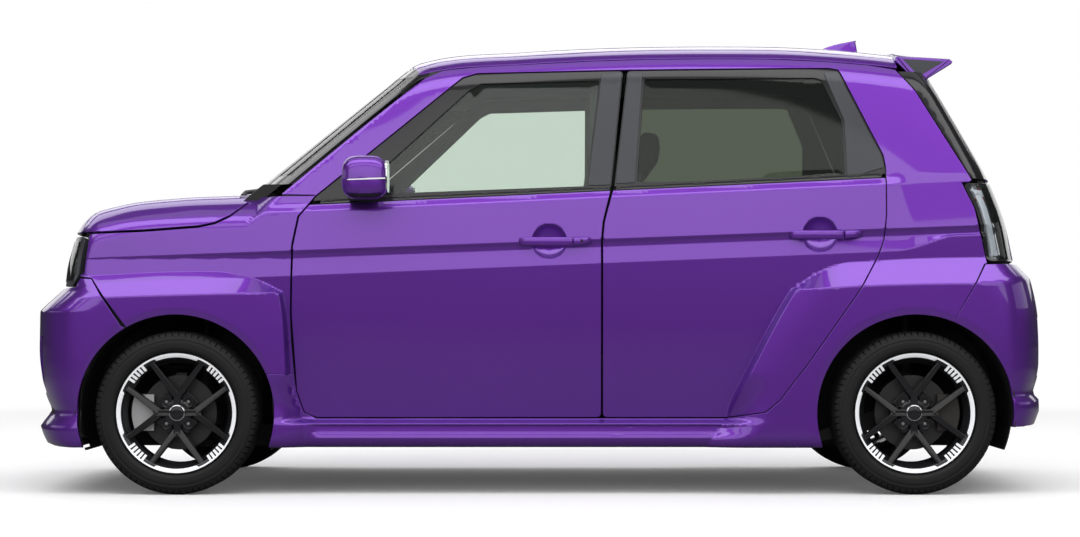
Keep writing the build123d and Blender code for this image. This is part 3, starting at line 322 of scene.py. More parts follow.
@dataclass(frozen=True)
class GlassFinish:
    """Thin clear or tinted glass: light passes tinted, and the surface shines more at a slant."""

    name: str
    tint: tuple[float, float, float]
    gloss: float = 0.8
    veil: float = 0.02
    roughness: float = 0.02
    smear: float = 0.04

    def build(self) -> bpy.types.Material:
        """Make the glass."""
        material = bpy.data.materials.new(self.name)
        graph = Graph(material)
        smear = graph.noise(7.0, 3.0)
        clear = graph.node("ShaderNodeBsdfTransparent", {"Color": (*self.tint, 1.0)})
        shine = graph.node("ShaderNodeBsdfGlossy", {"Color": (self.gloss,) * 3 + (1.0,),
                                                   "Roughness": self.roughness + smear * self.smear})
        share = graph.node("ShaderNodeFresnel", {"IOR": 1.4})
        dust = graph.node("ShaderNodeBsdfDiffuse", {"Color": (0.50, 0.58, 0.53, 1.0)})
        hazy = graph.node("ShaderNodeMixShader", {0: self.veil, 1: clear, 2: dust})
        graph.finish(graph.node("ShaderNodeMixShader", {0: share, 1: hazy, 2: shine}))
        return material


PAINT = PaintFinish("paint_purple", (0.205, 0.050, 0.50), (0.165, 0.040, 0.40), 0.34, 0.06, 0.70, 0.0, 1.0,
                    1.5, Grain.PEEL, 60.0, 0.03)
BLACK_GLOSS = Finish("gloss_black", (0.012, 0.012, 0.014), (0.02, 0.02, 0.022), 0.16, 0.06, 0.0, 0.35, 0.4,
                     5.0, Grain.PEEL, 120.0, 0.05)
GRAPHITE = Finish("graphite_trim", (0.045, 0.046, 0.055), (0.06, 0.062, 0.07), 0.33, 0.06, 0.3, 0.4, 0.3,
                  4.0, Grain.PEEL, 500.0, 0.06)
DARK_PLASTIC = Finish("dark_plastic", (0.018, 0.018, 0.020), (0.03, 0.03, 0.033), 0.55, 0.10)
RUBBER_SEAL = Finish("seal_rubber", (0.010, 0.010, 0.011), (0.018, 0.018, 0.019), 0.6, 0.1,
                     grain=Grain.RUBBER)
UNDERBODY = Finish("underbody_coat", (0.016, 0.016, 0.017), (0.035, 0.033, 0.031), 0.8, 0.12,
                   grain=Grain.CAST, grain_scale=300.0, grain_depth=0.5)
CABIN = Finish("cabin_plastic", (0.035, 0.036, 0.038), (0.05, 0.05, 0.053), 0.62, 0.08)
LINING = Finish("roof_lining", (0.12, 0.13, 0.125), (0.15, 0.16, 0.155), 0.9, 0.05, grain=Grain.WEAVE,
                grain_scale=260.0, grain_depth=0.3)
CHASSIS = Finish("chassis_steel", (0.05, 0.05, 0.052), (0.09, 0.08, 0.072), 0.55, 0.15, 0.6, grain=Grain.CAST,
                 grain_scale=240.0, grain_depth=0.35)
CASTING = Finish("cast_housing", (0.22, 0.22, 0.225), (0.30, 0.30, 0.30), 0.5, 0.12, 0.7, grain=Grain.CAST,
                 grain_scale=420.0, grain_depth=0.5)
SILVER = Finish("caliper_silver", (0.66, 0.66, 0.67), (0.45, 0.45, 0.46), 0.4, 0.1, 0.25, grain=Grain.CAST,
                grain_scale=520.0, grain_depth=0.3)
DISC = Finish("disc_steel", (0.10, 0.10, 0.105), (0.06, 0.058, 0.055), 0.34, 0.1, 0.8, grain=Grain.BRUSH,
              grain_scale=200.0, grain_depth=0.3)
WHEEL_BLACK = Finish("wheel_black", (0.010, 0.010, 0.012), (0.018, 0.018, 0.02), 0.24, 0.08, 0.1, 0.4, 0.5,
                     9.0, Grain.PEEL, 200.0, 0.05)
# The machined alloy's glow of 0.3 is painted sheen: it emits its own pale colour, so the ring and bars read
# bright under any lamp.
MACHINED_PAINTED_SHEEN = Finish("machined_alloy", (0.90, 0.91, 0.93), (0.84, 0.85, 0.88), 0.4, 0.08, 0.0, 0.5, 0.6,
                  20.0, Grain.BRUSH, 260.0, 0.2, 0.3)
TYRE = Finish("tyre_rubber", (0.010, 0.010, 0.0105), (0.018, 0.0175, 0.017), 0.6, 0.12, 0.0, 0.3, 0.0,
              8.0, Grain.RUBBER, 700.0, 0.25)
SEAT_CLOTH = Finish("seat_cloth", (0.055, 0.056, 0.062), (0.085, 0.086, 0.094), 0.92, 0.05, grain=Grain.WEAVE,
                    grain_scale=420.0, grain_depth=0.6)
CHROME = Finish("bright_metal", (0.80, 0.80, 0.82), (0.72, 0.72, 0.74), 0.12, 0.05, 1.0, grain=Grain.PEEL,
                grain_scale=300.0, grain_depth=0.04)
LAMP_WHITE = Finish("lamp_white", (0.86, 0.88, 0.90), (0.78, 0.80, 0.83), 0.3, 0.05, 0.1, 0.5, 0.5,
                    30.0, Grain.PEEL, 400.0, 0.1, 0.15)
LAMP_RED = Finish("lamp_red", (0.45, 0.01, 0.015), (0.30, 0.01, 0.01), 0.2, 0.05, 0.0, 0.5, 0.6,
                  30.0, Grain.PEEL, 500.0, 0.2)
LAMP_SILVER = Finish("lamp_silver", (0.55, 0.56, 0.58), (0.42, 0.43, 0.45), 0.35, 0.08, 0.2, 0.5, 0.4,
                     30.0, Grain.PEEL, 400.0, 0.1)
PLATE = Finish("plate_white", (0.72, 0.73, 0.72), (0.66, 0.67, 0.66), 0.4, 0.05, grain=Grain.PEEL)
CLEAR = GlassFinish("clear_glass", (0.865, 0.912, 0.872))
PRIVACY = GlassFinish("privacy_glass", (0.487, 0.522, 0.462), 0.6)
LENS = GlassFinish("lamp_lens", (0.90, 0.92, 0.94), 0.9)

_made: dict[str, bpy.types.Material] = {}


def material_of(finish: object) -> bpy.types.Material:
    """The finish's material, made once."""
    if finish.name not in _made:
        _made[finish.name] = finish.build()
    return _made[finish.name]


# =====================================================================
# Body surface
# =====================================================================
class Curve:
    """Smooth line through (place, value) points, straight beyond its ends."""

    def __init__(self, points: Points) -> None:
        """Keep the points and the slope at each of them."""
        self.at, self.value = (np.array(column, float) for column in zip(*points))
        self.slope = np.gradient(self.value, self.at)

    def __call__(self, x: np.ndarray) -> np.ndarray:
        """Value at each place."""
        x = np.asarray(x, float)
        i = np.clip(np.searchsorted(self.at, x) - 1, 0, len(self.at) - 2)
        step = self.at[i + 1] - self.at[i]
        t = (x - self.at[i]) / step
        s = np.clip(t, 0, 1)
        inside = ((2 * s ** 3 - 3 * s ** 2 + 1) * self.value[i] + (s ** 3 - 2 * s ** 2 + s) * step * self.slope[i]
                  + (3 * s ** 2 - 2 * s ** 3) * self.value[i + 1] + (s ** 3 - s ** 2) * step * self.slope[i + 1])
        beyond = np.where(t < 0, t * step * self.slope[i], np.where(t > 1,
                                                                    (t - 1) * step * self.slope[i + 1], 0))
        return inside + beyond


def ramp(t: np.ndarray, radius: float) -> np.ndarray:
    """0 below zero and t above it, with a round corner."""
    return np.where(t <= -radius, 0.0, np.where(t >= radius, t, (t + radius) ** 2 / (4 * radius)))


def bent(t: np.ndarray, knots: Sequence[tuple]) -> np.ndarray:
    """Line of straight runs with round corners.

    Args:
        t: Places.
        knots: (place, value, corner radius); a place or value may be an array like t.

    Returns:
        The value at each place.
    """
    slopes = [(b[1] - a[1]) / (b[0] - a[0]) for a, b in zip(knots, knots[1:])]
    value = knots[0][1] + slopes[0] * (t - knots[0][0])
    for knot, before, after in zip(knots[1:-1], slopes, slopes[1:]):
        value = value + (after - before) * ramp(t - knot[0], knot[2])
    return value


def soft_min(a: np.ndarray, b: np.ndarray, width: float) -> np.ndarray:
    """The smaller of two, with a round change between them."""
    share = np.maximum(width - np.abs(a - b), 0.0) / width
    return np.minimum(a, b) - share * share * width / 4


def step_up(t: np.ndarray, low: float, high: float) -> np.ndarray:
    """0 below low and 1 above high, smooth between."""
    s = np.clip((t - low) / (high - low), 0, 1)
    return s * s * (3 - 2 * s)


BELT_RISE, GROOVE_RISE, CREASE_RISE = 0.047, 0.037, 0.041
GROOVE_HEIGHT = 27.0
GROOVE_DEPTH = 8.0


def belt_at(x: np.ndarray) -> np.ndarray:
    """Height of the line under the windows."""
    return 1031.0 + BELT_RISE * x


def groove_at(x: np.ndarray) -> np.ndarray:
    """Height of the crest over the side groove."""
    return 864.0 + GROOVE_RISE * x


def groove_share(x: np.ndarray) -> np.ndarray:
    """Share of the groove's full height; it runs out towards the nose."""
    return np.clip((x + 1590) / 741, 0.02, 1)


def crease_at(x: np.ndarray) -> np.ndarray:
    """Height of the doors' crease, which rises into the groove on the quarter panel."""
    plain = 783.0 + CREASE_RISE * x
    return plain + step_up(x, 1230.0, 1440.0) * (groove_at(x) - GROOVE_HEIGHT - 2 - plain)


FRONT_HANDLE = (-70.0, 865.0)
REAR_HANDLE = (856.0, 888.0)
HANDLE_LENGTH = 256.0
BOWL_SHARE = 0.42
BOWL_RADIUS = 60.0
BOWL_DEPTH = 24.0


def bowl_centre(handle: tuple[float, float]) -> tuple[float, float]:
    """Centre of the finger bowl behind a handle, in side view."""
    return handle[0] + BOWL_SHARE * HANDLE_LENGTH, handle[1] + 1.0


def bowl_tracks(handle: tuple[float, float]) -> list[np.ndarray]:
    """Rings of drawn points round a finger bowl."""
    centre = bowl_centre(handle)
    return [np.array(arc(centre, r, 0, 352, max(10, int(r)))) for r in (6, 14, 24, 34, 43, 50, 55, 58, 60,
                                                                        62, 66, 72)]


class Envelope:
    """The car's outer surface as one function: above 0 inside, 0 on the surface."""

    roof = Curve([(-900, 1470), (-463, 1520), (-370, 1543), (-60, 1569), (300, 1586), (620, 1590),
                  (900, 1586),
                  (1262, 1556), (1500, 1520), (1800, 1460)])
    bonnet = Curve([(-1800, 830), (-1720, 890), (-1662, 930), (-1590, 978), (-1460, 1020), (-1270, 1044),
                    (-1080, 1053),
                    (-800, 1058)])
    front_upper = Curve([(-1900, 746), (-1520, 751), (-1240, 763), (-1060, 760), (-1000, 750), (-950, 731),
                         (-872, 690),
                         (-800, 640)])
    front_lower = Curve([(-1900, 656), (-1520, 672), (-1240, 681), (-1026, 686), (-872, 688), (-800, 689)])
    rear_upper = Curve([(700, 560), (864, 697), (930, 745), (1024, 788), (1140, 799), (1526, 812),
                        (1900, 806)])
    rear_lower = Curve([(700, 693), (864, 697), (1060, 710), (1150, 714), (1526, 720), (1900, 712)])
    front_edge = Curve([(150, -796), (253, -803), (326, -831), (376, -848), (420, -850), (690, -874),
                        (760, -890)])
    rear_edge = Curve([(150, 560), (262, 640), (290, 650), (456, 731), (697, 864), (800, 935)])
    nose_knots = ((140, -1700, 3), (158, -1735, 3), (170, -1764, 4), (225, -1786, 6), (280, -1742, 8),
                  (320, -1760, 6),
                  (375, -1778, 20), (470, -1789, 40), (628, -1786, 6), (655, -1757, 6), (706, -1700, 6),
                  (792, -1690, 30),
                  (905, -1655, 30), (1000, -1610, 10), (1300, -1400, 10))
    tail_knots = ((140, 1745, 3), (231, 1771, 3), (278, 1789, 4), (318, 1789, 4), (333, 1772, 3),
                  (350, 1768, 4),
                  (385, 1780, 10), (432, 1789, 20), (517, 1789, 30), (619, 1784, 30), (680, 1773, 20),
                  (738, 1758, 10),
                  (800, 1698, 8), (960, 1665, 80), (1111, 1600, 60), (1490, 1372, 20), (1560, 1300, 10),
                  (1700, 1150, 10))
    screen_slope = (-463 + 1034) / (1515 - 1057)
    screen_bow, screen_reach, screen_wrap = 105.0, 760.0, 108.0
    corner_depth, corner_power = 250.0, 2.6

    def front_flare(self, x: np.ndarray, z: np.ndarray) -> np.ndarray:
        """Share of the front flare's reach."""
        upper, lower = self.front_upper(x), self.front_lower(x)
        slope = np.clip((upper - z) / np.maximum(upper - lower, 12.0), -1, 1)
        return np.clip(soft_min(np.minimum(slope, 1), self.edge_share(self.front_edge(z) - x, z), 0.03), 0, 1)

    def rear_flare(self, x: np.ndarray, z: np.ndarray) -> np.ndarray:
        """Share of the rear flare's reach."""
        upper, lower = self.rear_upper(x), self.rear_lower(x)
        slope = np.clip((upper - z) / np.maximum(upper - lower, 12.0), -1, 1)
        return np.clip(soft_min(np.minimum(slope, 1), self.edge_share((x - self.rear_edge(z)) * 0.84, z),
                                0.03), 0, 1)

    @staticmethod
    def edge_share(away: np.ndarray, z: np.ndarray) -> np.ndarray:
        """A flare's share by the distance from its upright edge: a short wall that softens at the foot."""
        swell = 1 - (1 - np.clip(away / 130.0, 0, 1)) ** 2
        crisp = 0.86 * np.clip(away / 9.0, 0, 1) + 0.14 * swell
        return swell + (crisp - swell) * step_up(z, 235.0, 420.0)

    def groove(self, x: np.ndarray, z: np.ndarray) -> np.ndarray:
        """Depth of the side groove's cove under its crest."""
        share = groove_share(x)
        u = np.clip((groove_at(x) - z) / (GROOVE_HEIGHT * share), 0, 1)
        return GROOVE_DEPTH * share * ((1 - u) - (1 - u) ** 2.4)

    def sill_width(self, x: np.ndarray, z: np.ndarray) -> np.ndarray:
        """How far the sill stands out beyond the doors' foot."""
        strip = step_up(x, -800, -745) * (1 - step_up(x, 668, 742))
        body = bent(z, ((140, 37, 2), (158, 38, 2), (226, 39, 6), (243, 38, 5), (255, 6, 4), (262, 0, 3),
                        (300, 0, 2)))
        raised = bent(z, ((140, 2, 2), (193, 3, 3), (214, -6, 3), (234, -9, 2), (240, 0, 2), (300, 0, 2)))
        return np.where(z < 300, body + strip * raised, 0.0)

    def side(self, x: np.ndarray, z: np.ndarray) -> np.ndarray:
        """Half width of the doors, wings and quarter panels, with the flares."""
        crease, groove, belt = crease_at(x), groove_at(x), belt_at(x)
        share = groove_share(x)
        low, crest = groove - GROOVE_HEIGHT * share, HALF_DOORS - 9 + GROOVE_DEPTH * share
        ledge = HALF_DOORS - 15 - 12 * step_up(x, 1170, 1290)
        knots = [(100, HALF_DOORS - 40, 4), (262, HALF_DOORS - 30, 30), (520, HALF_DOORS - 11, 160),
                 (crease, HALF_DOORS, 3), (low, HALF_DOORS - 9, 2), (groove, crest, 1.5)]
        roof = self.roof(x)
        knots += [(belt - 26, ledge, 4), (belt, HALF_DOORS - 33, 5), (roof - 82, HALF_DOORS - 147, 5),
                  (roof, HALF_DOORS - 167, 5)]
        doors = bent(z, knots) - self.groove(x, z) + self.sill_width(x, z)
        share = np.where(x < 0, self.front_flare(x, z), self.rear_flare(x, z))
        width = doors + share * (HALF_WINGS - doors)
        for handle in (FRONT_HANDLE, REAR_HANDLE):
            centre = bowl_centre(handle)
            away = np.hypot(x - centre[0], z - centre[1]) / BOWL_RADIUS
            width = width - BOWL_DEPTH * np.clip(1 - away ** 2, 0, None) ** 0.75
        axle = np.where(x < 0, FRONT_AXLE_X, REAR_AXLE_X)
        lip = ARCH_RADIUS + 19.0 - np.hypot(x - axle, z - TYRE_RADIUS)
        return width - 0.14 * ramp(lip, 2.0)

    def bowed(self, y: np.ndarray, z: np.ndarray) -> np.ndarray:
        """How far the windscreen falls back at a distance from the middle, at a height."""
        wrap = np.minimum(y / (963.0 - 0.25 * z), 1.1) ** 7
        return self.screen_bow * (y / self.screen_reach) ** 2 + self.screen_wrap * wrap

    def gap(self, p: np.ndarray) -> np.ndarray:
        """About the distance inside the surface.

        Args:
            p: Points as rows of x, y, z.

        Returns:
            One value a point.
        """
        x, y, z = p[:, 0], np.abs(p[:, 1]), p[:, 2]
        share = np.clip(y / HALF_WINGS, 0, 0.9995) ** self.corner_power
        bow = self.corner_depth * (1 - (1 - share) ** (1 / self.corner_power))
        nose = x - bent(z, self.nose_knots) - bow
        tail = bent(z, self.tail_knots) - bow * 0.9 - x
        ends = soft_min(nose, tail, 30.0)
        ends = soft_min(ends, z - SILL_Z, 4.0)
        crown = 14 * (y / 340) ** 2 + 0.0006 * ramp(y - 340, 20) ** 2
        cabin = soft_min(self.side(x, z) - y, self.roof(x) - crown - z, 70.0)
        screen = x - (-1034 + self.screen_slope * (z - 1057)) - self.bowed(y, z)
        cabin = soft_min(cabin, screen * 0.63, 10.0)
        hood = 26 * (y / 587) ** 2 + 0.0018 * ramp(y - 540, 20) ** 2
        front = soft_min(self.side(x, z) - y, self.bonnet(x) - hood - z, 46.0)
        front = np.minimum(front, -800.0 - x)
        return soft_min(np.maximum(cabin, front), ends, 46.0)

    def normal(self, p: np.ndarray) -> np.ndarray:
        """Outward unit normals at points on the surface."""
        slope = np.zeros_like(p)
        for axis in range(3):
            step = np.zeros(3)
            step[axis] = 0.8
            slope[:, axis] = self.gap(p - step) - self.gap(p + step)
        return slope / np.maximum(np.linalg.norm(slope, axis=1, keepdims=True), 1e-9)

    def cast(self, start: np.ndarray, way: np.ndarray, reach: float = 1300.0) -> np.ndarray:
        """Where rays from inside leave the surface.

        Args:
            start: Ray starts, inside.
            way: Unit directions.
            reach: The longest ray.

        Returns:
            Points on the surface.
        """
        low, high = np.zeros(len(start)), np.full(len(start), reach)
        for _ in range(26):
            middle = (low + high) / 2
            inside = self.gap(start + way * middle[:, None]) > 0
            low = np.where(inside, middle, low)
            high = np.where(inside, high, middle)
        return start + way * low[:, None]


BODY = Envelope()


# =====================================================================
# How a flat drawing is laid on the body
# =====================================================================
class Side:
    """Drawn as (x, z) in side view, thrown out to the left."""

    def rays(self, uv: np.ndarray) -> tuple[np.ndarray, np.ndarray]:
        """Ray starts and directions."""
        start = np.column_stack([uv[:, 0], np.full(len(uv), -250.0), uv[:, 1]])
        return start, np.tile([0.0, -1.0, 0.0], (len(uv), 1))


class Top:
    """Drawn as (x, y) in plan, thrown up."""

    def rays(self, uv: np.ndarray) -> tuple[np.ndarray, np.ndarray]:
        """Ray starts and directions."""
        start = np.column_stack([uv[:, 0], uv[:, 1], np.full(len(uv), 700.0)])
        return start, np.tile([0.0, 0.0, 1.0], (len(uv), 1))


@dataclass
class Fan:
    """Drawn as (length round an upright axis, z); length 0 is straight ahead or behind."""

    axis_x: float
    way: float
    radius: float = 600.0

    def rays(self, uv: np.ndarray) -> tuple[np.ndarray, np.ndarray]:
        """Ray starts and directions."""
        turn = uv[:, 0] / self.radius
        start = np.column_stack([np.full(len(uv), self.axis_x), np.zeros(len(uv)), uv[:, 1]])
        return start, np.column_stack([self.way * np.cos(turn), np.sin(turn), np.zeros(len(uv))])

    def around(self, x: float, y: float) -> float:
        """Drawn length of the place at (x, y)."""
        return math.atan2(y, self.way * (x - self.axis_x)) * self.radius


@dataclass
class Barrel:
    """Drawn as (x, length round the roof's long axis); length 0 is the top."""

    axis_z: float = 1150.0
    radius: float = 430.0

    def rays(self, uv: np.ndarray) -> tuple[np.ndarray, np.ndarray]:
        """Ray starts and directions."""
        turn = uv[:, 1] / self.radius
        start = np.column_stack([uv[:, 0], np.zeros(len(uv)), np.full(len(uv), self.axis_z)])
        return start, np.column_stack([np.zeros(len(uv)), np.sin(turn), np.cos(turn)])

    def around(self, y: float, z: float) -> float:
        """Drawn length of the place at (y, z)."""
        return math.atan2(y, z - self.axis_z) * self.radius


@dataclass
class Screen:
    """Drawn as (y, z) from ahead or behind, thrown along X."""

    start_x: float
    way: float

    def rays(self, uv: np.ndarray) -> tuple[np.ndarray, np.ndarray]:
        """Ray starts and directions."""
        start = np.column_stack([np.full(len(uv), self.start_x), uv[:, 0], uv[:, 1]])
        return start, np.tile([self.way, 0.0, 0.0], (len(uv), 1))


# =====================================================================
# Flat drawing
# =====================================================================
def arc(centre: tuple[float, float], radius: float, start: float, end: float, steps: int = 24) -> list:
    """Points on an arc, angles in degrees from +X towards +Z."""
    return [(centre[0] + radius * math.cos(math.radians(a)), centre[1] + radius * math.sin(math.radians(a)))
            for a in np.linspace(start, end, steps)]


def area(points: Points) -> float:
    """Signed area, above 0 where the points run against the clock."""
    return sum(a[0] * b[1] - b[0] * a[1] for a, b in zip(points, [*points[1:], points[0]])) / 2


def grown(points: Points, by: float) -> list:
    """Outline moved outwards by a distance."""
    p = np.array(points, float)
    way = math.copysign(1, area(points))
    edge = np.roll(p, -1, 0) - p
    edge /= np.maximum(np.linalg.norm(edge, axis=1, keepdims=True), 1e-9)
    out = np.column_stack([edge[:, 1], -edge[:, 0]]) * way
    both = out + np.roll(out, 1, 0)
    length = np.maximum((both ** 2).sum(1), 0.5)
    return [tuple(row) for row in p + both * (2 * by / length)[:, None]]


def rounded(points: Points, radius: float, corners: Optional[dict] = None) -> list:
    """Outline with round corners.

    Args:
        points: The outline.
        radius: Usual corner radius.
        corners: Other radii by point number.

    Returns:
        The outline with each corner as a short curve.
    """
    result = []
    for i, point in enumerate(points):
        here = np.array(point, float)
        before, after = np.array(points[i - 1], float), np.array(points[(i + 1) % len(points)], float)
        a, b = before - here, after - here
        la, lb = np.linalg.norm(a), np.linalg.norm(b)
        turn = math.acos(float(np.clip(a @ b / max(la * lb, 1e-9), -1, 1)))
        size = (corners or {}).get(i, radius) / max(math.tan(turn / 2), 0.05)
        size = min(size, 0.45 * la, 0.45 * lb)
        if size < 0.6 or turn > math.radians(176):
            result.append(tuple(here))
            continue
        for t in np.linspace(0, 1, 7):
            q = here + a / la * size * (1 - t) ** 2 + b / lb * size * t ** 2
            result.append(tuple(q))
    return result


def dense(points: Points, step: float) -> np.ndarray:
    """Closed outline with points no further apart than a step."""
    rows = []
    for a, b in zip(points, [*points[1:], points[0]]):
        a, b = np.array(a, float), np.array(b, float)
        count = max(1, int(math.ceil(np.linalg.norm(b - a) / step)))
        rows += [a + (b - a) * k / count for k in range(count)]
    rows = np.array(rows)
    keep = np.linalg.norm(rows - np.roll(rows, 1, 0), axis=1) > 0.4
    return rows[keep]


def inside(points: np.ndarray, outline: np.ndarray) -> np.ndarray:
    """Which points lie inside a closed outline."""
    x, y = points[:, 0][:, None], points[:, 1][:, None]
    x0, y0 = outline[:, 0][None], outline[:, 1][None]
    x1, y1 = np.roll(outline[:, 0], -1)[None], np.roll(outline[:, 1], -1)[None]
    crosses = (y0 > y) != (y1 > y)
    at = x0 + (y - y0) * (x1 - x0) / np.where(y1 == y0, 1e-9, y1 - y0)
    return (crosses & (x < at)).sum(1) % 2 == 1


def clipped(points: Points, line: Callable[[float], float], above: bool) -> list:
    """Part of an outline above or below a nearly straight line v = line(u)."""
    result = []
    side = 1.0 if above else -1.0
    for a, b in zip(points, [*points[1:], points[0]]):
        da, db = side * (a[1] - float(line(a[0]))), side * (b[1] - float(line(b[0])))
        if da >= 0:
            result.append(tuple(a))
        if (da >= 0) != (db >= 0):
            t = da / (da - db)
            result.append((a[0] + (b[0] - a[0]) * t, a[1] + (b[1] - a[1]) * t))
    return result


# =====================================================================
# Meshes
# =====================================================================
@dataclass
class Sheet:
    """Points, faces and normals in millimetres."""

    points: np.ndarray
    faces: list
    normals: Optional[np.ndarray] = None

    def mirrored(self) -> "Sheet":
        """The right-hand twin."""
        flip = np.array([1.0, -1.0, 1.0])
        normals = None if self.normals is None else self.normals * flip
        return Sheet(self.points * flip, [tuple(reversed(f)) for f in self.faces], normals)

    def joined(self, other: "Sheet") -> "Sheet":
        """Both in one."""
        faces = [*self.faces, *[tuple(i + len(self.points) for i in f) for f in other.faces]]
        normals = None
        if self.normals is not None and other.normals is not None:
            normals = np.vstack([self.normals, other.normals])
        return Sheet(np.vstack([self.points, other.points]), faces, normals)

    def moved(self, x: float = 0.0, y: float = 0.0, z: float = 0.0) -> "Sheet":
        """The same, shifted."""
        return Sheet(self.points + np.array([x, y, z]), self.faces, self.normals)

    def turned(self, matrix: Matrix) -> "Sheet":
        """The same, turned about the origin."""
        m = np.array(matrix.to_3x3())
        normals = None if self.normals is None else self.normals @ m.T
        return Sheet(self.points @ m.T, self.faces, normals)


@dataclass
class Piece:
    """Something to show: a sheet with its body, finish and slot."""

    name: str
    sheet: Sheet
    body: str
    finish: object
    slot: str
    stands_for: tuple[str, ...] = ()
    bevel: float = 0.0
    crease_deg: float = 35.0
    levels: int = 0

    def show(self) -> bpy.types.Object:
        """Make the object and tie it to the frame.

        Returns:
            The object at the origin.
        """
        mesh = bpy.data.meshes.new(self.name)
        mesh.from_pydata([tuple(p) for p in self.sheet.points * MM], [], self.sheet.faces)
        if self.sheet.normals is None:
            work = bmesh.new()
            work.from_mesh(mesh)
            bmesh.ops.recalc_face_normals(work, faces=work.faces)
            work.to_mesh(mesh)
            work.free()
        mesh.materials.append(material_of(self.finish))
        mesh.shade_smooth()
        if self.sheet.normals is not None:
            mesh.normals_split_custom_set_from_vertices([tuple(n) for n in self.sheet.normals])
        elif not self.levels:
            mesh.set_sharp_from_angle(angle=math.radians(self.crease_deg))
        piece = bpy.data.objects.new(self.name, mesh)
        bpy.context.scene.collection.objects.link(piece)
        if self.bevel:
            bevel = piece.modifiers.new("edge", "BEVEL")
            bevel.width, bevel.segments, bevel.limit_method = self.bevel * MM, 2, "ANGLE"
            bevel.angle_limit = math.radians(38)
            bevel.harden_normals = True
        if self.levels:
            smooth = piece.modifiers.new("smooth", "SUBSURF")
            smooth.levels = smooth.render_levels = self.levels
        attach(piece, self.body)
        for node in self.stands_for:
            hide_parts(node)
        log.info("%s: %d faces on %s", self.name, len(mesh.polygons), self.body)
        return piece


def pair(name: str, sheet: Sheet, body: str, finish: object, slot: str, stands_for: Sequence[str] = (),
         **more) -> None:
    """Show a left piece and its right twin.

    Args:
        name: Piece name without its side.
        sheet: The left sheet.
        body: Body name; one that differs by side holds "{side}".
        finish: The finish.
        slot: Not used; only stored on the piece.
        stands_for: CAD nodes replaced, with "{side}" where they differ.
        more: Other fields of Piece.
    """
    for side in SIDES:
        shape = sheet if side == "left" else sheet.mirrored()
        nodes = tuple(node.format(side=side) for node in stands_for)
        Piece(f"{name}_{side}", shape, body.format(side=side), finish, slot, nodes, **more).show()


def nearest(points: np.ndarray, others: np.ndarray) -> np.ndarray:
    """Distance from each point to the nearest of some others."""
    near = np.full(len(points), 1e9)
    for chunk in np.array_split(others, max(1, len(others) // 200)):
        near = np.minimum(near, np.linalg.norm(points[:, None] - chunk[None], axis=2).min(1))
    return near


def grid_of(outline: np.ndarray, step: tuple[float, float], rows: Sequence[Callable],
            tracks: Sequence[np.ndarray],
            margin: float) -> np.ndarray:
    """Points inside an outline, on a plain grid and along lines that follow features.

    Args:
        outline: Dense outline.
        step: Spacing along u and v.
        rows: Functions v(u) to follow.
        tracks: Other point lines to follow.
        margin: Distance kept from the outline.

    Returns:
        Points as rows of u, v.
    """
    low, high = outline.min(0), outline.max(0)
    us = np.arange(low[0] + step[0] * 0.5, high[0], step[0])
    vs = np.arange(low[1] + step[1] * 0.5, high[1], step[1])
    plain = np.array(np.meshgrid(us, vs)).reshape(2, -1).T
    lines = [np.column_stack([us, np.broadcast_to(row(us), us.shape)]) for row in rows]
    for row in rows:
        away = np.abs(plain[:, 1] - np.broadcast_to(row(plain[:, 0]), len(plain))) > 2.0
        plain = plain[away]
    points = np.vstack([plain, *lines])
    points = points[inside(points, outline)]
    if len(tracks):
        followed = np.vstack(tracks)
        followed = followed[inside(followed, outline)]
        if len(followed):
            points = np.vstack([points[nearest(points, followed) > 3.2], followed])
    return points[nearest(points, outline) > margin]


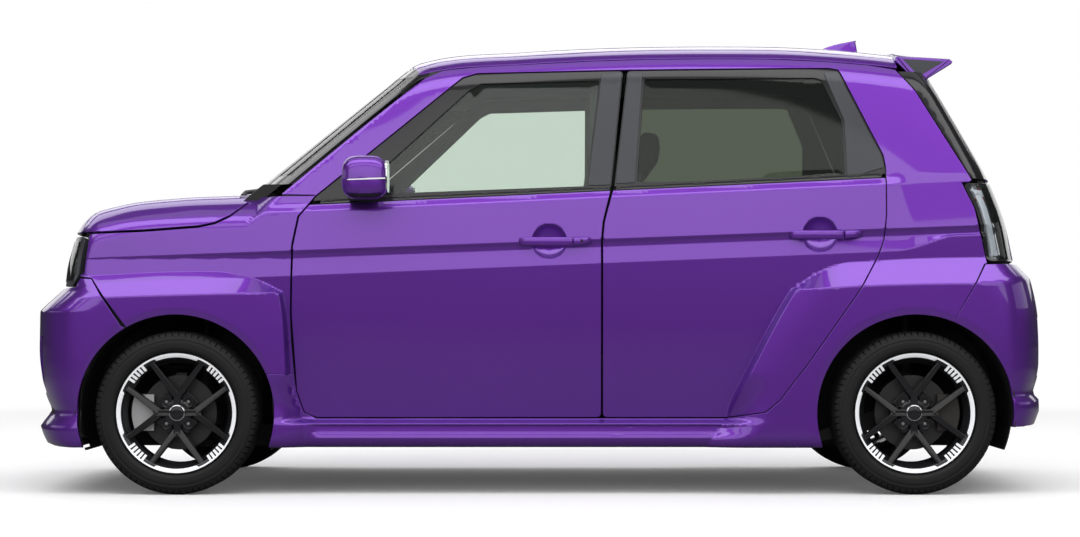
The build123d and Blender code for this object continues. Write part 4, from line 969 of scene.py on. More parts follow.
@dataclass
class Panel:
    """A pressed panel on the body's surface: face, rolled edge, wall and back."""

    laid: object
    outline: Points
    holes: Sequence[Points] = ()
    rows: Sequence[Callable] = ()
    tracks: Sequence[np.ndarray] = ()
    step: tuple[float, float] = (18.0, 18.0)
    edge_step: float = 9.0
    inset: float = 0.0
    wall: float = 9.0
    roll: float = 1.8
    bulge: Optional[Callable] = None

    def place(self, uv: np.ndarray) -> tuple[np.ndarray, np.ndarray]:
        """Surface points and normals of drawn points."""
        p = BODY.cast(*self.laid.rays(uv))
        n = BODY.normal(p)
        raised = -self.inset if self.bulge is None else self.bulge(p) - self.inset
        return p + n * np.broadcast_to(raised, len(p))[:, None], n

    def sheet(self) -> Sheet:
        """Build it.

        Returns:
            A closed sheet with smooth normals.
        """
        loops = [dense(self.outline, self.edge_step), *[dense(h, self.edge_step) for h in self.holes]]
        grid = grid_of(loops[0], self.step, self.rows, self.tracks, self.edge_step * 0.55)
        for hole in loops[1:]:
            grid = grid[~inside(grid, hole)]
            grid = grid[nearest(grid, hole) > self.edge_step * 0.55]
        edges, start = [], 0
        for loop in loops:
            edges += [(start + i, start + (i + 1) % len(loop)) for i in range(len(loop))]
            start += len(loop)
        flat = np.vstack([*loops, grid])
        made = delaunay_2d_cdt([Vector(p) for p in flat], edges, [], 0, 1e-4)
        uv = np.array([tuple(v) for v in made[0]])
        faces = np.array([f for f in made[2] if len(f) == 3])
        middle = uv[faces].mean(1)
        keep = inside(middle, loops[0])
        for hole in loops[1:]:
            keep &= ~inside(middle, hole)
        faces = faces[keep]
        return self.thick(uv, faces)

    def thick(self, uv: np.ndarray, faces: np.ndarray) -> Sheet:
        """Give a flat mesh its place, rolled edge, wall and back.

        Args:
            uv: Drawn points.
            faces: Triangles.

        Returns:
            A closed sheet.
        """
        used = np.unique(faces)
        back_of = np.full(len(uv), -1)
        back_of[used] = np.arange(len(used))
        uv, faces = uv[used], back_of[faces]
        p, n = self.place(uv)
        spread = np.cross(p[faces[:, 1]] - p[faces[:, 0]], p[faces[:, 2]] - p[faces[:, 0]])
        flip = (spread * n[faces[:, 0]]).sum(1).mean() < 0
        if flip:
            faces = faces[:, ::-1]
        directed = {}
        for a, b, c in faces:
            for pair_ in ((a, b), (b, c), (c, a)):
                directed[pair_] = True
        rim = [(a, b) for a, b in directed if (b, a) not in directed]
        ids = sorted({i for e in rim for i in e})
        slot = {v: k for k, v in enumerate(ids)}
        along = np.zeros((len(ids), 3))
        for a, b in rim:
            way = p[b] - p[a]
            way /= max(np.linalg.norm(way), 1e-9)
            along[slot[a]] += way
            along[slot[b]] += way
        normal = n[ids]
        out = np.cross(along, normal)
        out /= np.maximum(np.linalg.norm(out, axis=1, keepdims=True), 1e-9)
        base, r = p[ids], self.roll
        rings = [base + out * r * 0.7 - normal * r * 0.3, base + out * r - normal * r,
                 base + out * r - normal * self.wall]
        slopes = [(out + normal) / math.sqrt(2), out, out]
        count = len(uv)
        points = [p, *rings, p - n * self.wall]
        normals = [n, *slopes, -n]
        size = len(ids)
        result = [tuple(int(i) for i in f) for f in faces]
        starts = [count + k * size for k in range(3)]
        back = count + 3 * size
        for a, b in rim:
            ka, kb = slot[a], slot[b]
            low = (int(a), int(b))
            for first in starts:
                result.append((low[1], low[0], first + ka, first + kb))
                low = (first + ka, first + kb)
            result.append((low[1], low[0], back + int(a), back + int(b)))
        result += [tuple(int(back + i) for i in reversed(f)) for f in faces]
        return Sheet(np.vstack(points), result, np.vstack(normals))


def loft(rings: Sequence[np.ndarray], closed: bool = False) -> Sheet:
    """Skin over rings of equal point count, capped at both ends unless it closes on itself."""
    size, count = len(rings[0]), len(rings)
    faces = []
    for k in range(count if closed else count - 1):
        a, b = k * size, ((k + 1) % count) * size
        faces += [(a + i, a + (i + 1) % size, b + (i + 1) % size, b + i) for i in range(size)]
    if not closed:
        faces += [tuple(reversed(range(size))), tuple((count - 1) * size + i for i in range(size))]
    return Sheet(np.vstack(rings), faces)


def lathe(profile: Points, steps: int = 96) -> Sheet:
    """Closed (radius, y) profile turned about the Y axis."""
    rings = []
    for k in range(steps):
        turn = 2 * math.pi * k / steps
        rings.append(np.array([(r * math.cos(turn), y, r * math.sin(turn)) for r, y in profile]))
    return loft(rings, closed=True)


def box(low: Sequence[float], high: Sequence[float]) -> Sheet:
    """Box between two corners."""
    corners = [(x, y, low[2]) for x, y in ((low[0], low[1]), (high[0], low[1]), (high[0], high[1]),
                                           (low[0], high[1]))]
    base = np.array(corners, float)
    return loft([base, base + np.array([0, 0, high[2] - low[2]])])


def prism(points: Points, y_low: float, y_high: float) -> Sheet:
    """Side outline (x, z) made solid between two Y planes."""
    return loft([np.array([(x, y, z) for x, z in points], float) for y in (y_low, y_high)])


def tube(path: Sequence[Sequence[float]], radius: float, sides: int = 10, closed: bool = False) -> Sheet:
    """Round bar along a path."""
    p = np.array(path, float)
    rings = []
    for i, point in enumerate(p):
        ahead = p[(i + 1) % len(p)] if closed or i + 1 < len(p) else point
        behind = p[i - 1] if closed or i else point
        way = Vector(ahead - behind).normalized()
        side = way.cross(Vector((0, 0, 1)) if abs(way.z) < 0.9 else Vector((1, 0, 0))).normalized()
        up = side.cross(way)
        rings.append(np.array([point + radius * (math.cos(t) * np.array(side) + math.sin(t) * np.array(up))
                               for t in np.linspace(0, 2 * math.pi, sides, endpoint=False)]))
    return loft(rings, closed)


def joined(sheets: Sequence[Sheet]) -> Sheet:
    """All sheets in one."""
    result = sheets[0]
    for sheet in sheets[1:]:
        result = result.joined(sheet)
    return result


def tucked(node: str, depth: float) -> Sheet:
    """A CAD node's merged mesh with whatever comes near the outer surface pushed inside it.

    Args:
        node: CAD node name.
        depth: Least distance inside the outer surface.

    Returns:
        The sheet in millimetres.
    """
    work = bmesh.new()
    work.from_mesh(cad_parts[node].data)
    bmesh.ops.remove_doubles(work, verts=work.verts, dist=2e-5)
    bmesh.ops.dissolve_degenerate(work, edges=work.edges, dist=1e-5)
    bmesh.ops.recalc_face_normals(work, faces=work.faces)
    points = np.array([v.co for v in work.verts]) / MM
    faces = [tuple(v.index for v in f.verts) for f in work.faces]
    work.free()
    least = np.full(len(points), depth)
    for handle in (FRONT_HANDLE, REAR_HANDLE):
        x, z = bowl_centre(handle)
        near = (np.abs(points[:, 0] - x - 20) < 160) & (np.abs(points[:, 2] - z) < 80) & (np.abs(points[:,
                                                                                                        1]) > 600)
        least[near] = BOWL_DEPTH + 20.0
    for _ in range(4):
        gap = BODY.gap(points)
        short = np.clip(least - gap, 0, None)
        points = points - BODY.normal(points) * short[:, None]
    return Sheet(points, faces)


# =====================================================================
# Outlines, as in the CAD
# =====================================================================
FRONT_DOOR = [(-763, 1020), (-818, 949), (-838, 850), (-843, 618), (-826, 353), (-801, 282), (-762, 265),
              (213, 265),
              (213, 871), (219, 934), (249, 1056), (293, 1462), (-212, 1452), (-262, 1436)]
REAR_DOOR = [(223, 265), (640, 265), (772, 286), (819, 325), (921, 458), (1086, 693), (1157, 811),
             (1180, 874),
             (1188, 957), (1190, 1120), (1183, 1164), (1041, 1464), (1010, 1470), (310, 1462), (262, 1056),
             (229, 934),
             (223, 871)]
FRONT_WINDOW = [(-560, 1100), (-505, 1030), (167, 1055), (215, 1432), (-200, 1420), (-240, 1398)]
REAR_WINDOW = [(336, 1067), (1056, 1083), (1051, 1285), (985, 1432), (960, 1440), (366, 1436)]
FRONT_ARCH = (FRONT_AXLE_X, TYRE_RADIUS)
REAR_ARCH = (REAR_AXLE_X, TYRE_RADIUS)
SEEN_GAP = 4.4
CAD_GAP = 8.0
EDGE = (CAD_GAP - SEEN_GAP) / 2 - 1.8


def arch_side(centre: tuple[float, float], z: float, side: float) -> float:
    """X where the arch's edge crosses a height, ahead (-1) or behind (+1) the axle."""
    return centre[0] + side * math.sqrt(ARCH_RADIUS ** 2 - (z - centre[1]) ** 2)


def arch_angle(centre: tuple[float, float], point: tuple[float, float]) -> float:
    """Angle of a point on the arch, in degrees."""
    return math.degrees(math.atan2(point[1] - centre[1], point[0] - centre[0]))


BODY_ROWS = [lambda x, d=d: crease_at(x) + d for d in (-8, -3, 0, 3, 8)]
BODY_ROWS += [lambda x, d=d: groove_at(x) + d for d in (-27, -23, -18, -13, -8, -4, 0, 3)]
BELT_ROWS = [lambda x, d=d: belt_at(x) + d for d in (-31, -26, -21, -8, -3, 2)]
FLARE_ROWS = [lambda x, d=d: BODY.front_upper(x) + d for d in (-8, -3, 1, 6)]
FLARE_ROWS += [lambda x, d=d: BODY.front_lower(x) + d for d in (-8, -4, 0, 4, 9)]
REAR_FLARE_ROWS = [lambda x, d=d: BODY.rear_upper(x) + d for d in (-8, -3, 1, 6)]
REAR_FLARE_ROWS += [lambda x, d=d: BODY.rear_lower(x) + d for d in (-8, -4, 0, 4, 9)]
FLARE_TRACKS = [np.array([(float(BODY.front_edge(z)) - d, z) for z in np.arange(170.0, 700.0, 7.0)])
                for d in (-5, 0, 4.5, 9, 13, 20, 32, 54, 80, 110)]
REAR_FLARE_TRACKS = [np.array([(float(BODY.rear_edge(z)) + d, z) for z in np.arange(170.0, 705.0, 8.0)])
                     for d in (-5, 0, 5, 10.7, 16, 26, 42, 64, 92, 124, 150)]
SILL_ROWS = [lambda x, z=z: np.full_like(x, z) for z in (161, 165, 190, 195, 212, 216, 232, 238, 243, 248,
                                                         254, 260)]


def on_side(x: float, z: float, start_y: float = -250.0) -> np.ndarray:
    """Point of the left surface at a place in side view."""
    return BODY.cast(np.array([[x, start_y, z]]), np.array([[0.0, -1.0, 0.0]]))[0]


def walked(corners: Points, count: int = 8) -> list:
    """Places along a line of corners, evenly spread on each stretch and without its far end."""
    return [(x0 + (x1 - x0) * t, z0 + (z1 - z0) * t) for (x0, z0), (x1, z1) in zip(corners, corners[1:])
            for t in np.linspace(0, 1, count, endpoint=False)]


def on_fan(fan: "Fan", places: Points) -> list:
    """Places in side view as (round, height) points of a bumper's drawing."""
    points = []
    for x, z in places:
        p = on_side(x, z)
        points.append((fan.around(p[0], p[1]), z))
    return points


def corner_line(z: float) -> tuple[float, float]:
    """(x, half width) where the windscreen's surface meets the side, at a height."""
    x = -900.0
    for _ in range(40):
        y = float(BODY.side(np.array([x]), np.array([z]))[0])
        x = -1034 + BODY.screen_slope * (z - 1057) + BODY.bowed(y, z)
    return x, y


def rail_z(x: float) -> float:
    """Height of the ditch between the side frame and the roof."""
    return float(BODY.roof(np.array([x]))[0]) - 84.0


def upright_slot(fan: Fan, xs: tuple[float, float], zs: tuple[float, float]) -> list:
    """Outline of a narrow upright slot round a bumper's corner, by its edges in side view."""
    sides = []
    for x in xs:
        for z in (zs[0], zs[1]):
            p = on_side(x, z, -100.0)
            sides.append((fan.around(p[0], p[1]), z))
    low, high, other_low, other_high = sides
    return rounded([low, other_low, other_high, high], 6)


def recess(fan: Fan, slot: list, name: str) -> None:
    """Painted floor of a bumper's slot."""
    floor = Panel(fan, grown(slot, 5), inset=13.0, wall=3.0, roll=0.8, step=(12, 16))
    pair(f"{name}_slot", floor.sheet(), "body", PAINT, "body_paint")


def hatch_edge(z: float, shift: float) -> float:
    """X of the tailgate's front edge at a height."""
    return float(np.interp(z, (1066, 1078, 1390, 1468, 1490), (1497, 1491, 1312, 1248, 1236))) + shift


@dataclass
class Doors:
    """Doors: painted skins, black frames, trims, mouldings and glasses."""

    def build(self) -> None:
        """Painted doors, their black frames, trims and belt mouldings."""
        for name, outline, window in (("front", FRONT_DOOR, FRONT_WINDOW), ("rear", REAR_DOOR, REAR_WINDOW)):
            body = name + "_door_{side}"
            shape = grown(rounded(outline, 14), EDGE)
            flare = FLARE_ROWS if name == "front" else REAR_FLARE_ROWS
            handle = FRONT_HANDLE if name == "front" else REAR_HANDLE
            tracks = [*REAR_FLARE_TRACKS, *bowl_tracks(handle)]
            skin = Panel(Side(), clipped(shape, lambda x: belt_at(x) - 3.0, above=False),
                         rows=[*BODY_ROWS, *BELT_ROWS, *flare, *SILL_ROWS], tracks=tracks)
            pair(f"{name}_door_skin", skin.sheet(), body, PAINT, "body_paint")
            upper = clipped(shape, lambda x: belt_at(x) + 13.0, above=True)
            frame_panel = Panel(Side(), upper, [grown(rounded(window, 12), -1)], inset=2.0, wall=14.0)
            pair(f"{name}_door_frame", frame_panel.sheet(), body, BLACK_GLOSS, "dark_plastic")
            ends = (-748.0, 243.0) if name == "front" else (267.0, 1176.0)
            strip = [(ends[0], float(belt_at(ends[0]))), (ends[1], float(belt_at(ends[1]))),
                     (ends[1] + 3, float(belt_at(ends[1])) + 14), (ends[0] + 6, float(belt_at(ends[0])) + 14)]
            moulding = Panel(Side(), strip, inset=-3.0, wall=9.0, roll=3.0, edge_step=12.0, step=(24.0, 6.0))
            pair(f"{name}_belt_moulding", moulding.sheet(), body, BLACK_GLOSS, "dark_plastic")
            glass = Panel(Side(), grown(rounded(window, 12), 7), inset=7.0, wall=4.0, roll=0.5,
                          step=(40.0, 40.0),
                          edge_step=20.0)
            pair(f"{name}_door_pane", glass.sheet(), body, CLEAR if name == "front" else PRIVACY,
                 "clear_glass" if name == "front" else "privacy_glass", (f"{name}_door_glass_" + "{side}",))
        front_post = [(172, 1060), (246, 1062), (288, 1455), (221, 1450)]
        rear_post = [(267, 1066), (330, 1070), (360, 1453), (313, 1454)]
        quarter = [(1062, 1086), (1186, 1122), (1179, 1160), (1038, 1458), (992, 1456), (1058, 1288)]
        for name, outline, body in (("front_post_trim", front_post, "front_door_{side}"),
                                    ("rear_post_trim", rear_post, "rear_door_{side}"),
                                    ("quarter_trim", quarter, "rear_door_{side}")):
            trim = Panel(Side(), rounded(outline, 6), inset=-0.8, wall=4.0, roll=1.6)
            pair(name, trim.sheet(), body, GRAPHITE, "dark_plastic")


@dataclass
class SideSkins:
    """Side frames and front wings."""

    def side_outline(self) -> list:
        """Side view of the side frame's outer panel, round the doors.

        Returns:
            One closed outline of (x, z) points.
        """
        pillar = [(corner_line(z)[0] + 4.0, z) for z in (1030.0, 1150.0, 1270.0, 1380.0, 1440.0)]
        rail = [(x, rail_z(x)) for x in (-330.0, -200.0, 0.0, 200.0, 400.0, 600.0, 800.0, 1000.0, 1150.0)]
        tail = [(1242, 1468), (1306, 1390), (1485, 1078), (1478, 1072), (1449, 1070), (1492, 978),
                (1531, 793),
                (1521, 788),
                (1419, 606)]
        arch_start = arch_angle(REAR_ARCH, (arch_side(REAR_ARCH, 585.0, 1.0), 585.0))
        arch_end = 180 + arch_angle(REAR_ARCH, (2 * REAR_ARCH[0] - arch_side(REAR_ARCH, SILL_Z + 3, -1.0),
                                                SILL_Z + 3)) * -1
        rear = arc(REAR_ARCH, ARCH_RADIUS, arch_start, arch_end, 60)
        low = (arch_side(FRONT_ARCH, SILL_Z + 3, 1.0), SILL_Z + 3)
        high = (arch_side(FRONT_ARCH, 411.0, 1.0), 411.0)
        front = arc(FRONT_ARCH, ARCH_RADIUS, arch_angle(FRONT_ARCH, low), arch_angle(FRONT_ARCH, high), 16)
        edge = CAD_GAP - 1.8
        door = [*FRONT_DOOR[3:7], (217, 265), *REAR_DOOR[1:13], *FRONT_DOOR[11:], FRONT_DOOR[0]]
        opening = grown(door, edge)
        foot = [(-839, 411.0), *opening[1:]]
        return [*pillar, *rail, *tail, *rear, *front, *foot, (-768, 1028)]

    def wing_outline(self) -> list:
        """Side view of the front wing's outer panel."""
        cut = [(-1525, 742), (-1569, 748), (-1553, 757), (-1538, 890), (-1350, 897), (-1165, 911),
               (-1106, 924),
               (-1056, 949), (-975, 1020), (-770, 1022), (-826, 953), (-847, 853), (-852, 618), (-848, 520),
               (-839, 415)]
        high, low = (arch_side(FRONT_ARCH, 415.0, 1.0), 415.0), (arch_side(FRONT_ARCH, 574.0, -1.0), 574.0)
        arch = arc(FRONT_ARCH, ARCH_RADIUS, arch_angle(FRONT_ARCH, high), arch_angle(FRONT_ARCH, low), 50)
        return [*cut, *arch]

    def build(self) -> None:
        """Side frames and front wings."""
        rows = [*BODY_ROWS, *BELT_ROWS, *REAR_FLARE_ROWS, *SILL_ROWS]
        skin = Panel(Side(), self.side_outline(), rows=rows, tracks=REAR_FLARE_TRACKS, step=(14.0, 14.0))
        pair("side_skin", skin.sheet(), "body", PAINT, "body_paint")
        wing = Panel(Side(), self.wing_outline(), rows=[*BODY_ROWS, *FLARE_ROWS], tracks=FLARE_TRACKS,
                     step=(10.0, 10.0),
                     edge_step=7.0)
        pair("wing_skin", wing.sheet(), "body", PAINT, "body_paint")


@dataclass
class Roof:
    """Roof panel."""

    front_x: float = -415
    rear_x: float = 1250

    def build(self) -> None:
        """Roof panel between the ditches, from the windscreen's head to the tailgate."""
        laid = Barrel()
        edge = []
        for x in np.linspace(self.front_x, self.rear_x, 40):
            z = rail_z(float(x)) + 5.0
            p = on_side(x, z, 0.0)
            edge.append((float(x), laid.around(p[1], p[2])))
        head = [(-430 - 58 * (1 - (k / 5) ** 2), -edge[0][1] * k / 5) for k in (4, 3, 2, 1, 0, -1, -2, -3,
                                                                                -4)]
        outline = [*edge, *[(x, -v) for x, v in reversed(edge)], *head]
        rows = [lambda x, v=v: np.full_like(x, v) for v in (-330, -310, -290, -270, 270, 290, 310, 330)]
        panel = Panel(laid, outline, rows=rows, step=(26.0, 24.0), wall=12.0)
        Piece("roof_skin", panel.sheet(), "body", PAINT, "body_paint").show()


@dataclass
class Bonnet:
    """Bonnet panel."""

    side_line: tuple = ((-1552, 900), (-1350, 908), (-1165, 922), (-1110, 934), (-1060, 959),
                        (-1000, 1010))

    def build(self) -> None:
        """Clamshell bonnet that wraps over the wings' edge and the nose."""
        left = [tuple(map(float, on_side(x, z)[:2])) for x, z in walked(self.side_line)]
        nose = []
        for y in np.linspace(-640, 0, 18):
            z = 900.0
            p = BODY.cast(np.array([[-1250.0, y, z]]), np.array([[-1.0, 0.0, 0.0]]))[0]
            nose.append((float(p[0]), float(p[1])))
        nose = [q for q in nose if q[0] < left[0][0] - 6]
        back = [(-1062 + 92 * (y / 640.0) ** 2, y) for y in np.linspace(-655, 0, 12)]
        half = [*reversed(nose), *left, *back]
        outline = [*half, *[(x, -y) for x, y in reversed(half[1:-1])]]
        outline = [q for i, q in enumerate(outline) if math.dist(q, outline[i - 1]) > 1.0]
        rows = []
        for y in (560, 590, 615, 640, 655, 668, 680, 690, 698, 705, 711):
            rows += [lambda x, y=y: np.full_like(x, y), lambda x, y=y: np.full_like(x, -y)]
        panel = Panel(Top(), outline, rows=rows, step=(20.0, 24.0), edge_step=8.0)
        Piece("bonnet_skin", panel.sheet(), "bonnet", PAINT, "body_paint").show()


@dataclass
class FrontEnd:
    """Front bumper, grille and head lamps."""

    centre_x: float = -1230.0
    join: tuple = ((-1420, 574), (-1528, 736), (-1572, 738))
    plate: tuple = ((-172, 350), (172, 350), (172, 530), (-172, 530))
    intake: tuple = ((-400, 232), (400, 232), (380, 330), (-380, 330))
    grille: tuple = ((-372, 716), (372, 716), (380, 886), (-380, 886))
    slats_z: tuple = (738.0, 768.0, 798.0, 828.0, 858.0)
    eyes_u: tuple = (-500.0, -600.0)

    def build(self) -> None:
        """Front bumper, grille and headlamps."""
        fan = Fan(self.centre_x, -1.0)
        left = on_fan(fan, walked(self.join))
        low = (arch_side(FRONT_ARCH, SILL_Z + 4, -1.0), SILL_Z + 4)
        high = (arch_side(FRONT_ARCH, 570.0, -1.0), 570.0)
        angles = (arch_angle(FRONT_ARCH, high), arch_angle(FRONT_ARCH, low) % 360)
        arch = on_fan(fan, arc(FRONT_ARCH, ARCH_RADIUS, *angles, 30))
        top = [(fan.around(-1590, -735), 708.0), (-430.0, 700.0), (0.0, 700.0)]
        half = [(0.0, SILL_Z + 4), *reversed(arch), *left, *top]
        outline = [*half, *[(-u, z) for u, z in reversed(half[1:-1])]]
        rows = [lambda x, z=z: np.full_like(x, z) for z, _, _ in BODY.nose_knots[2:11]]
        rows += [lambda x, z=z: np.full_like(x, z) for z in (625, 632, 650, 660, 670, 676, 682, 690)]
        plate = rounded(list(self.plate), 8)
        intake = rounded(list(self.intake), 14)
        slot = upright_slot(fan, (-1745.0, -1708.0), (338.0, 545.0))
        recess(fan, slot, "front_bumper")
        panel = Panel(fan, outline, [intake, plate, slot, [(-u, z) for u, z in reversed(slot)]], rows=rows)
        Piece("front_bumper_skin", panel.sheet(), "body", PAINT, "body_paint").show()
        mesh = Panel(fan, grown(intake, 10), inset=26.0, wall=6.0, step=(12.0, 10.0))
        Piece("front_intake_mesh", mesh.sheet(), "body", DARK_PLASTIC, "dark_plastic").show()
        grille = rounded(list(self.grille), 10)
        back = Panel(fan, grille, inset=16.0, wall=6.0)
        Piece("grille_back", back.sheet(), "body", DARK_PLASTIC, "dark_plastic").show()
        for k, z in enumerate(self.slats_z):
            slat = Panel(fan, [(-370, z - 6), (370, z - 6), (370, z + 6), (-370, z + 6)], inset=4.0,
                         wall=14.0,
                         step=(20, 6))
            Piece(f"grille_slat_{k}", slat.sheet(), "body", BLACK_GLOSS, "dark_plastic").show()
        self.headlamps(fan)

    def headlamps(self, fan: Fan) -> None:
        """Headlamps with a ring of light, a projector and a clear cover."""
        outer = fan.around(-1560, -700)
        outline = rounded([(outer + 8, 752), (outer + 30, 716), (-392, 716), (-388, 886), (outer + 2, 884)],
                          22)
        housing = Panel(fan, outline, inset=34.0, wall=6.0)
        pair("headlamp_housing", housing.sheet(), "body", BLACK_GLOSS, "lamp_glass")
        bezel = Panel(fan, outline, [grown(outline, -16)], inset=3.0, wall=32.0)
        pair("headlamp_bezel", bezel.sheet(), "body", GRAPHITE, "dark_plastic", ("headlamps",))
        cover = Panel(fan, grown(outline, -15), inset=1.0, wall=3.0, roll=1.0, step=(30, 30), edge_step=16.0)
        pair("headlamp_cover", cover.sheet(), "body", LENS, "lamp_glass")
        ring = Panel(fan, grown(outline, -30), [grown(outline, -42)], inset=20.0, wall=8.0, roll=2.0)
        pair("headlamp_ring", ring.sheet(), "body", LAMP_WHITE, "lamp_glass")
        for k, u in enumerate(self.eyes_u):
            circle = arc((u, 800.0), 34.0, 0, 345, 24)
            eye = Panel(fan, circle, inset=18.0, wall=10.0, roll=4.0, step=(9, 9), edge_step=7.0)
            pair(f"headlamp_eye_{k}", eye.sheet(), "body", CHROME, "lamp_glass")


@dataclass
class RearEnd:
    """Rear bumper, tailgate and tail lamps."""

    centre_x: float = 1180.0
    join: tuple = ((1424, 606), (1528, 786), (1600, 788))
    plate: tuple = ((-172, 392), (172, 392), (172, 570), (-172, 570))
    blade_shares: tuple = (0.30, 0.42, 0.54)

    def build(self) -> None:
        """Rear bumper, tailgate and tail lamps."""
        fan = Fan(self.centre_x, 1.0)
        left = on_fan(fan, walked(self.join))
        high = (arch_side(REAR_ARCH, 590.0, 1.0), 590.0)
        low = (arch_side(REAR_ARCH, 235.0, 1.0), 235.0)
        angles = (arch_angle(REAR_ARCH, low), arch_angle(REAR_ARCH, high))
        arch = on_fan(fan, arc(REAR_ARCH, ARCH_RADIUS, *angles, 30))
        half = [(0.0, 235.0), *arch, *left, (fan.around(1690, -560), 788.0), (0.0, 788.0)]
        outline = [*half, *[(-u, z) for u, z in reversed(half[1:-1])]]
        rows = [lambda x, z=z: np.full_like(x, z) for z, _, _ in BODY.tail_knots[2:13]]
        rows += [lambda x, z=z: np.full_like(x, z) for z in (700, 712, 720, 732, 744, 752, 768)]
        plate = rounded(list(self.plate), 8)
        slot = upright_slot(fan, (1758.0, 1730.0), (400.0, 606.0))
        recess(fan, slot, "rear_bumper")
        panel = Panel(fan, outline, [plate, slot, [(-u, z) for u, z in reversed(slot)]], rows=rows)
        Piece("rear_bumper_skin", panel.sheet(), "body", PAINT, "body_paint").show()
        self.tailgate(fan)
        self.tail_lamps(fan)

    def tailgate(self, fan: Fan) -> None:
        """Painted lower tailgate, black upper surround and the rear window."""
        lower = [(-fan_y, z) for fan_y, z in ((520, 806), (520, 1076))]
        outline = rounded([*lower, (520, 1076), (520, 806)], 10)
        panel = Panel(fan, outline, rows=[lambda x, z=z: np.full_like(x, z) for z in (1040, 960, 880)])
        Piece("tailgate_skin", panel.sheet(), "tailgate", PAINT, "body_paint").show()
        left = on_fan(fan, [(hatch_edge(float(z), 2.0), float(z)) for z in np.linspace(1084, 1462, 14)])
        outline = [*left, *[(-u, z) for u, z in reversed(left)]]
        window = rounded([(u * 0.87, z) for u, z in ((left[1][0], 1122), (left[-2][0], 1440))]
                         + [(-u * 0.87, z) for u, z in ((left[-2][0], 1440), (left[1][0], 1122))], 30)
        surround = Panel(fan, outline, [window], inset=0.5, wall=12.0)
        Piece("tailgate_surround", surround.sheet(), "tailgate", BLACK_GLOSS, "dark_plastic").show()
        pane = Panel(fan, grown(window, 8), inset=3.0, wall=4.0, roll=0.5, step=(40, 40), edge_step=20.0)
        Piece("rear_window", pane.sheet(), "tailgate", PRIVACY, "privacy_glass", ("rear_glass",)).show()

    def tail_lamps(self, fan: Fan) -> None:
        """Tail lamps: dark housing, bright C-shaped tube, clear cover."""
        front = on_fan(fan, [(float(np.interp(z, (794, 980, 1070), (1537, 1499, 1456))), z)
                             for z in (1064.0, 1030.0, 980.0, 900.0, 800.0)])
        outline = rounded([*front, (-534, 800), (-534, 1070)], 16)
        housing = Panel(fan, outline, inset=30.0, wall=6.0)
        pair("tail_lamp_housing", housing.sheet(), "body", LAMP_SILVER, "lamp_glass", ("tail_lamps",))
        bezel = Panel(fan, outline, [grown(outline, -6)], inset=1.0, wall=30.0)
        pair("tail_lamp_bezel", bezel.sheet(), "body", BLACK_GLOSS, "dark_plastic")
        for k, share in enumerate(self.blade_shares):
            line = [(u + (-534 - u) * share, z) for u, z in front[1:]]
            blade = [*line, *[(u + 7, z) for u, z in reversed(line)]]
            rib = Panel(fan, blade, inset=6.0, wall=20.0, roll=1.0, step=(8, 20))
            pair(f"tail_lamp_blade_{k}", rib.sheet(), "body", GRAPHITE, "lamp_glass")
        cover = Panel(fan, grown(outline, -7), inset=0.0, wall=3.0, roll=1.0, step=(30, 30), edge_step=16.0)
        pair("tail_lamp_cover", cover.sheet(), "body", LENS, "lamp_glass")
        ring = Panel(fan, grown(outline, -20), [grown(outline, -38)], inset=14.0, wall=10.0, roll=3.0)
        pair("tail_lamp_tube", ring.sheet(), "body", LAMP_WHITE, "lamp_glass")
        middle = Panel(fan, grown(outline, -52), inset=18.0, wall=8.0, roll=3.0)
        pair("tail_lamp_core", middle.sheet(), "body", LAMP_RED, "lamp_glass")


@dataclass
class ScreenGlass:
    """Windscreen."""

    start_x: float = -100.0
    border: float = 30.0

    def build(self) -> None:
        """Windscreen with its dark border."""
        laid = Screen(self.start_x, -1.0)
        edge = []
        for z in np.linspace(1066, 1478, 14):
            y = corner_line(float(z))[1]
            edge.append((-(y - 16.0), float(z)))
        outline = [*edge, *[(-y, z) for y, z in reversed(edge)]]
        inner = [(y + self.border, z) for y, z in edge[1:-1]]
        clear = [*inner, *[(-y, z) for y, z in reversed(inner)]]
        border = Panel(laid, outline, [clear], inset=0.5, wall=4.0, roll=1.0, step=(30, 24), edge_step=14.0)
        Piece("windscreen_border", border.sheet(), "body", BLACK_GLOSS, "dark_plastic").show()
        pane = Panel(laid, grown(clear, 2.0), inset=1.5, wall=4.0, roll=0.5, step=(40, 40), edge_step=20.0)
        Piece("windscreen_pane", pane.sheet(), "body", CLEAR, "clear_glass", ("windscreen",)).show()


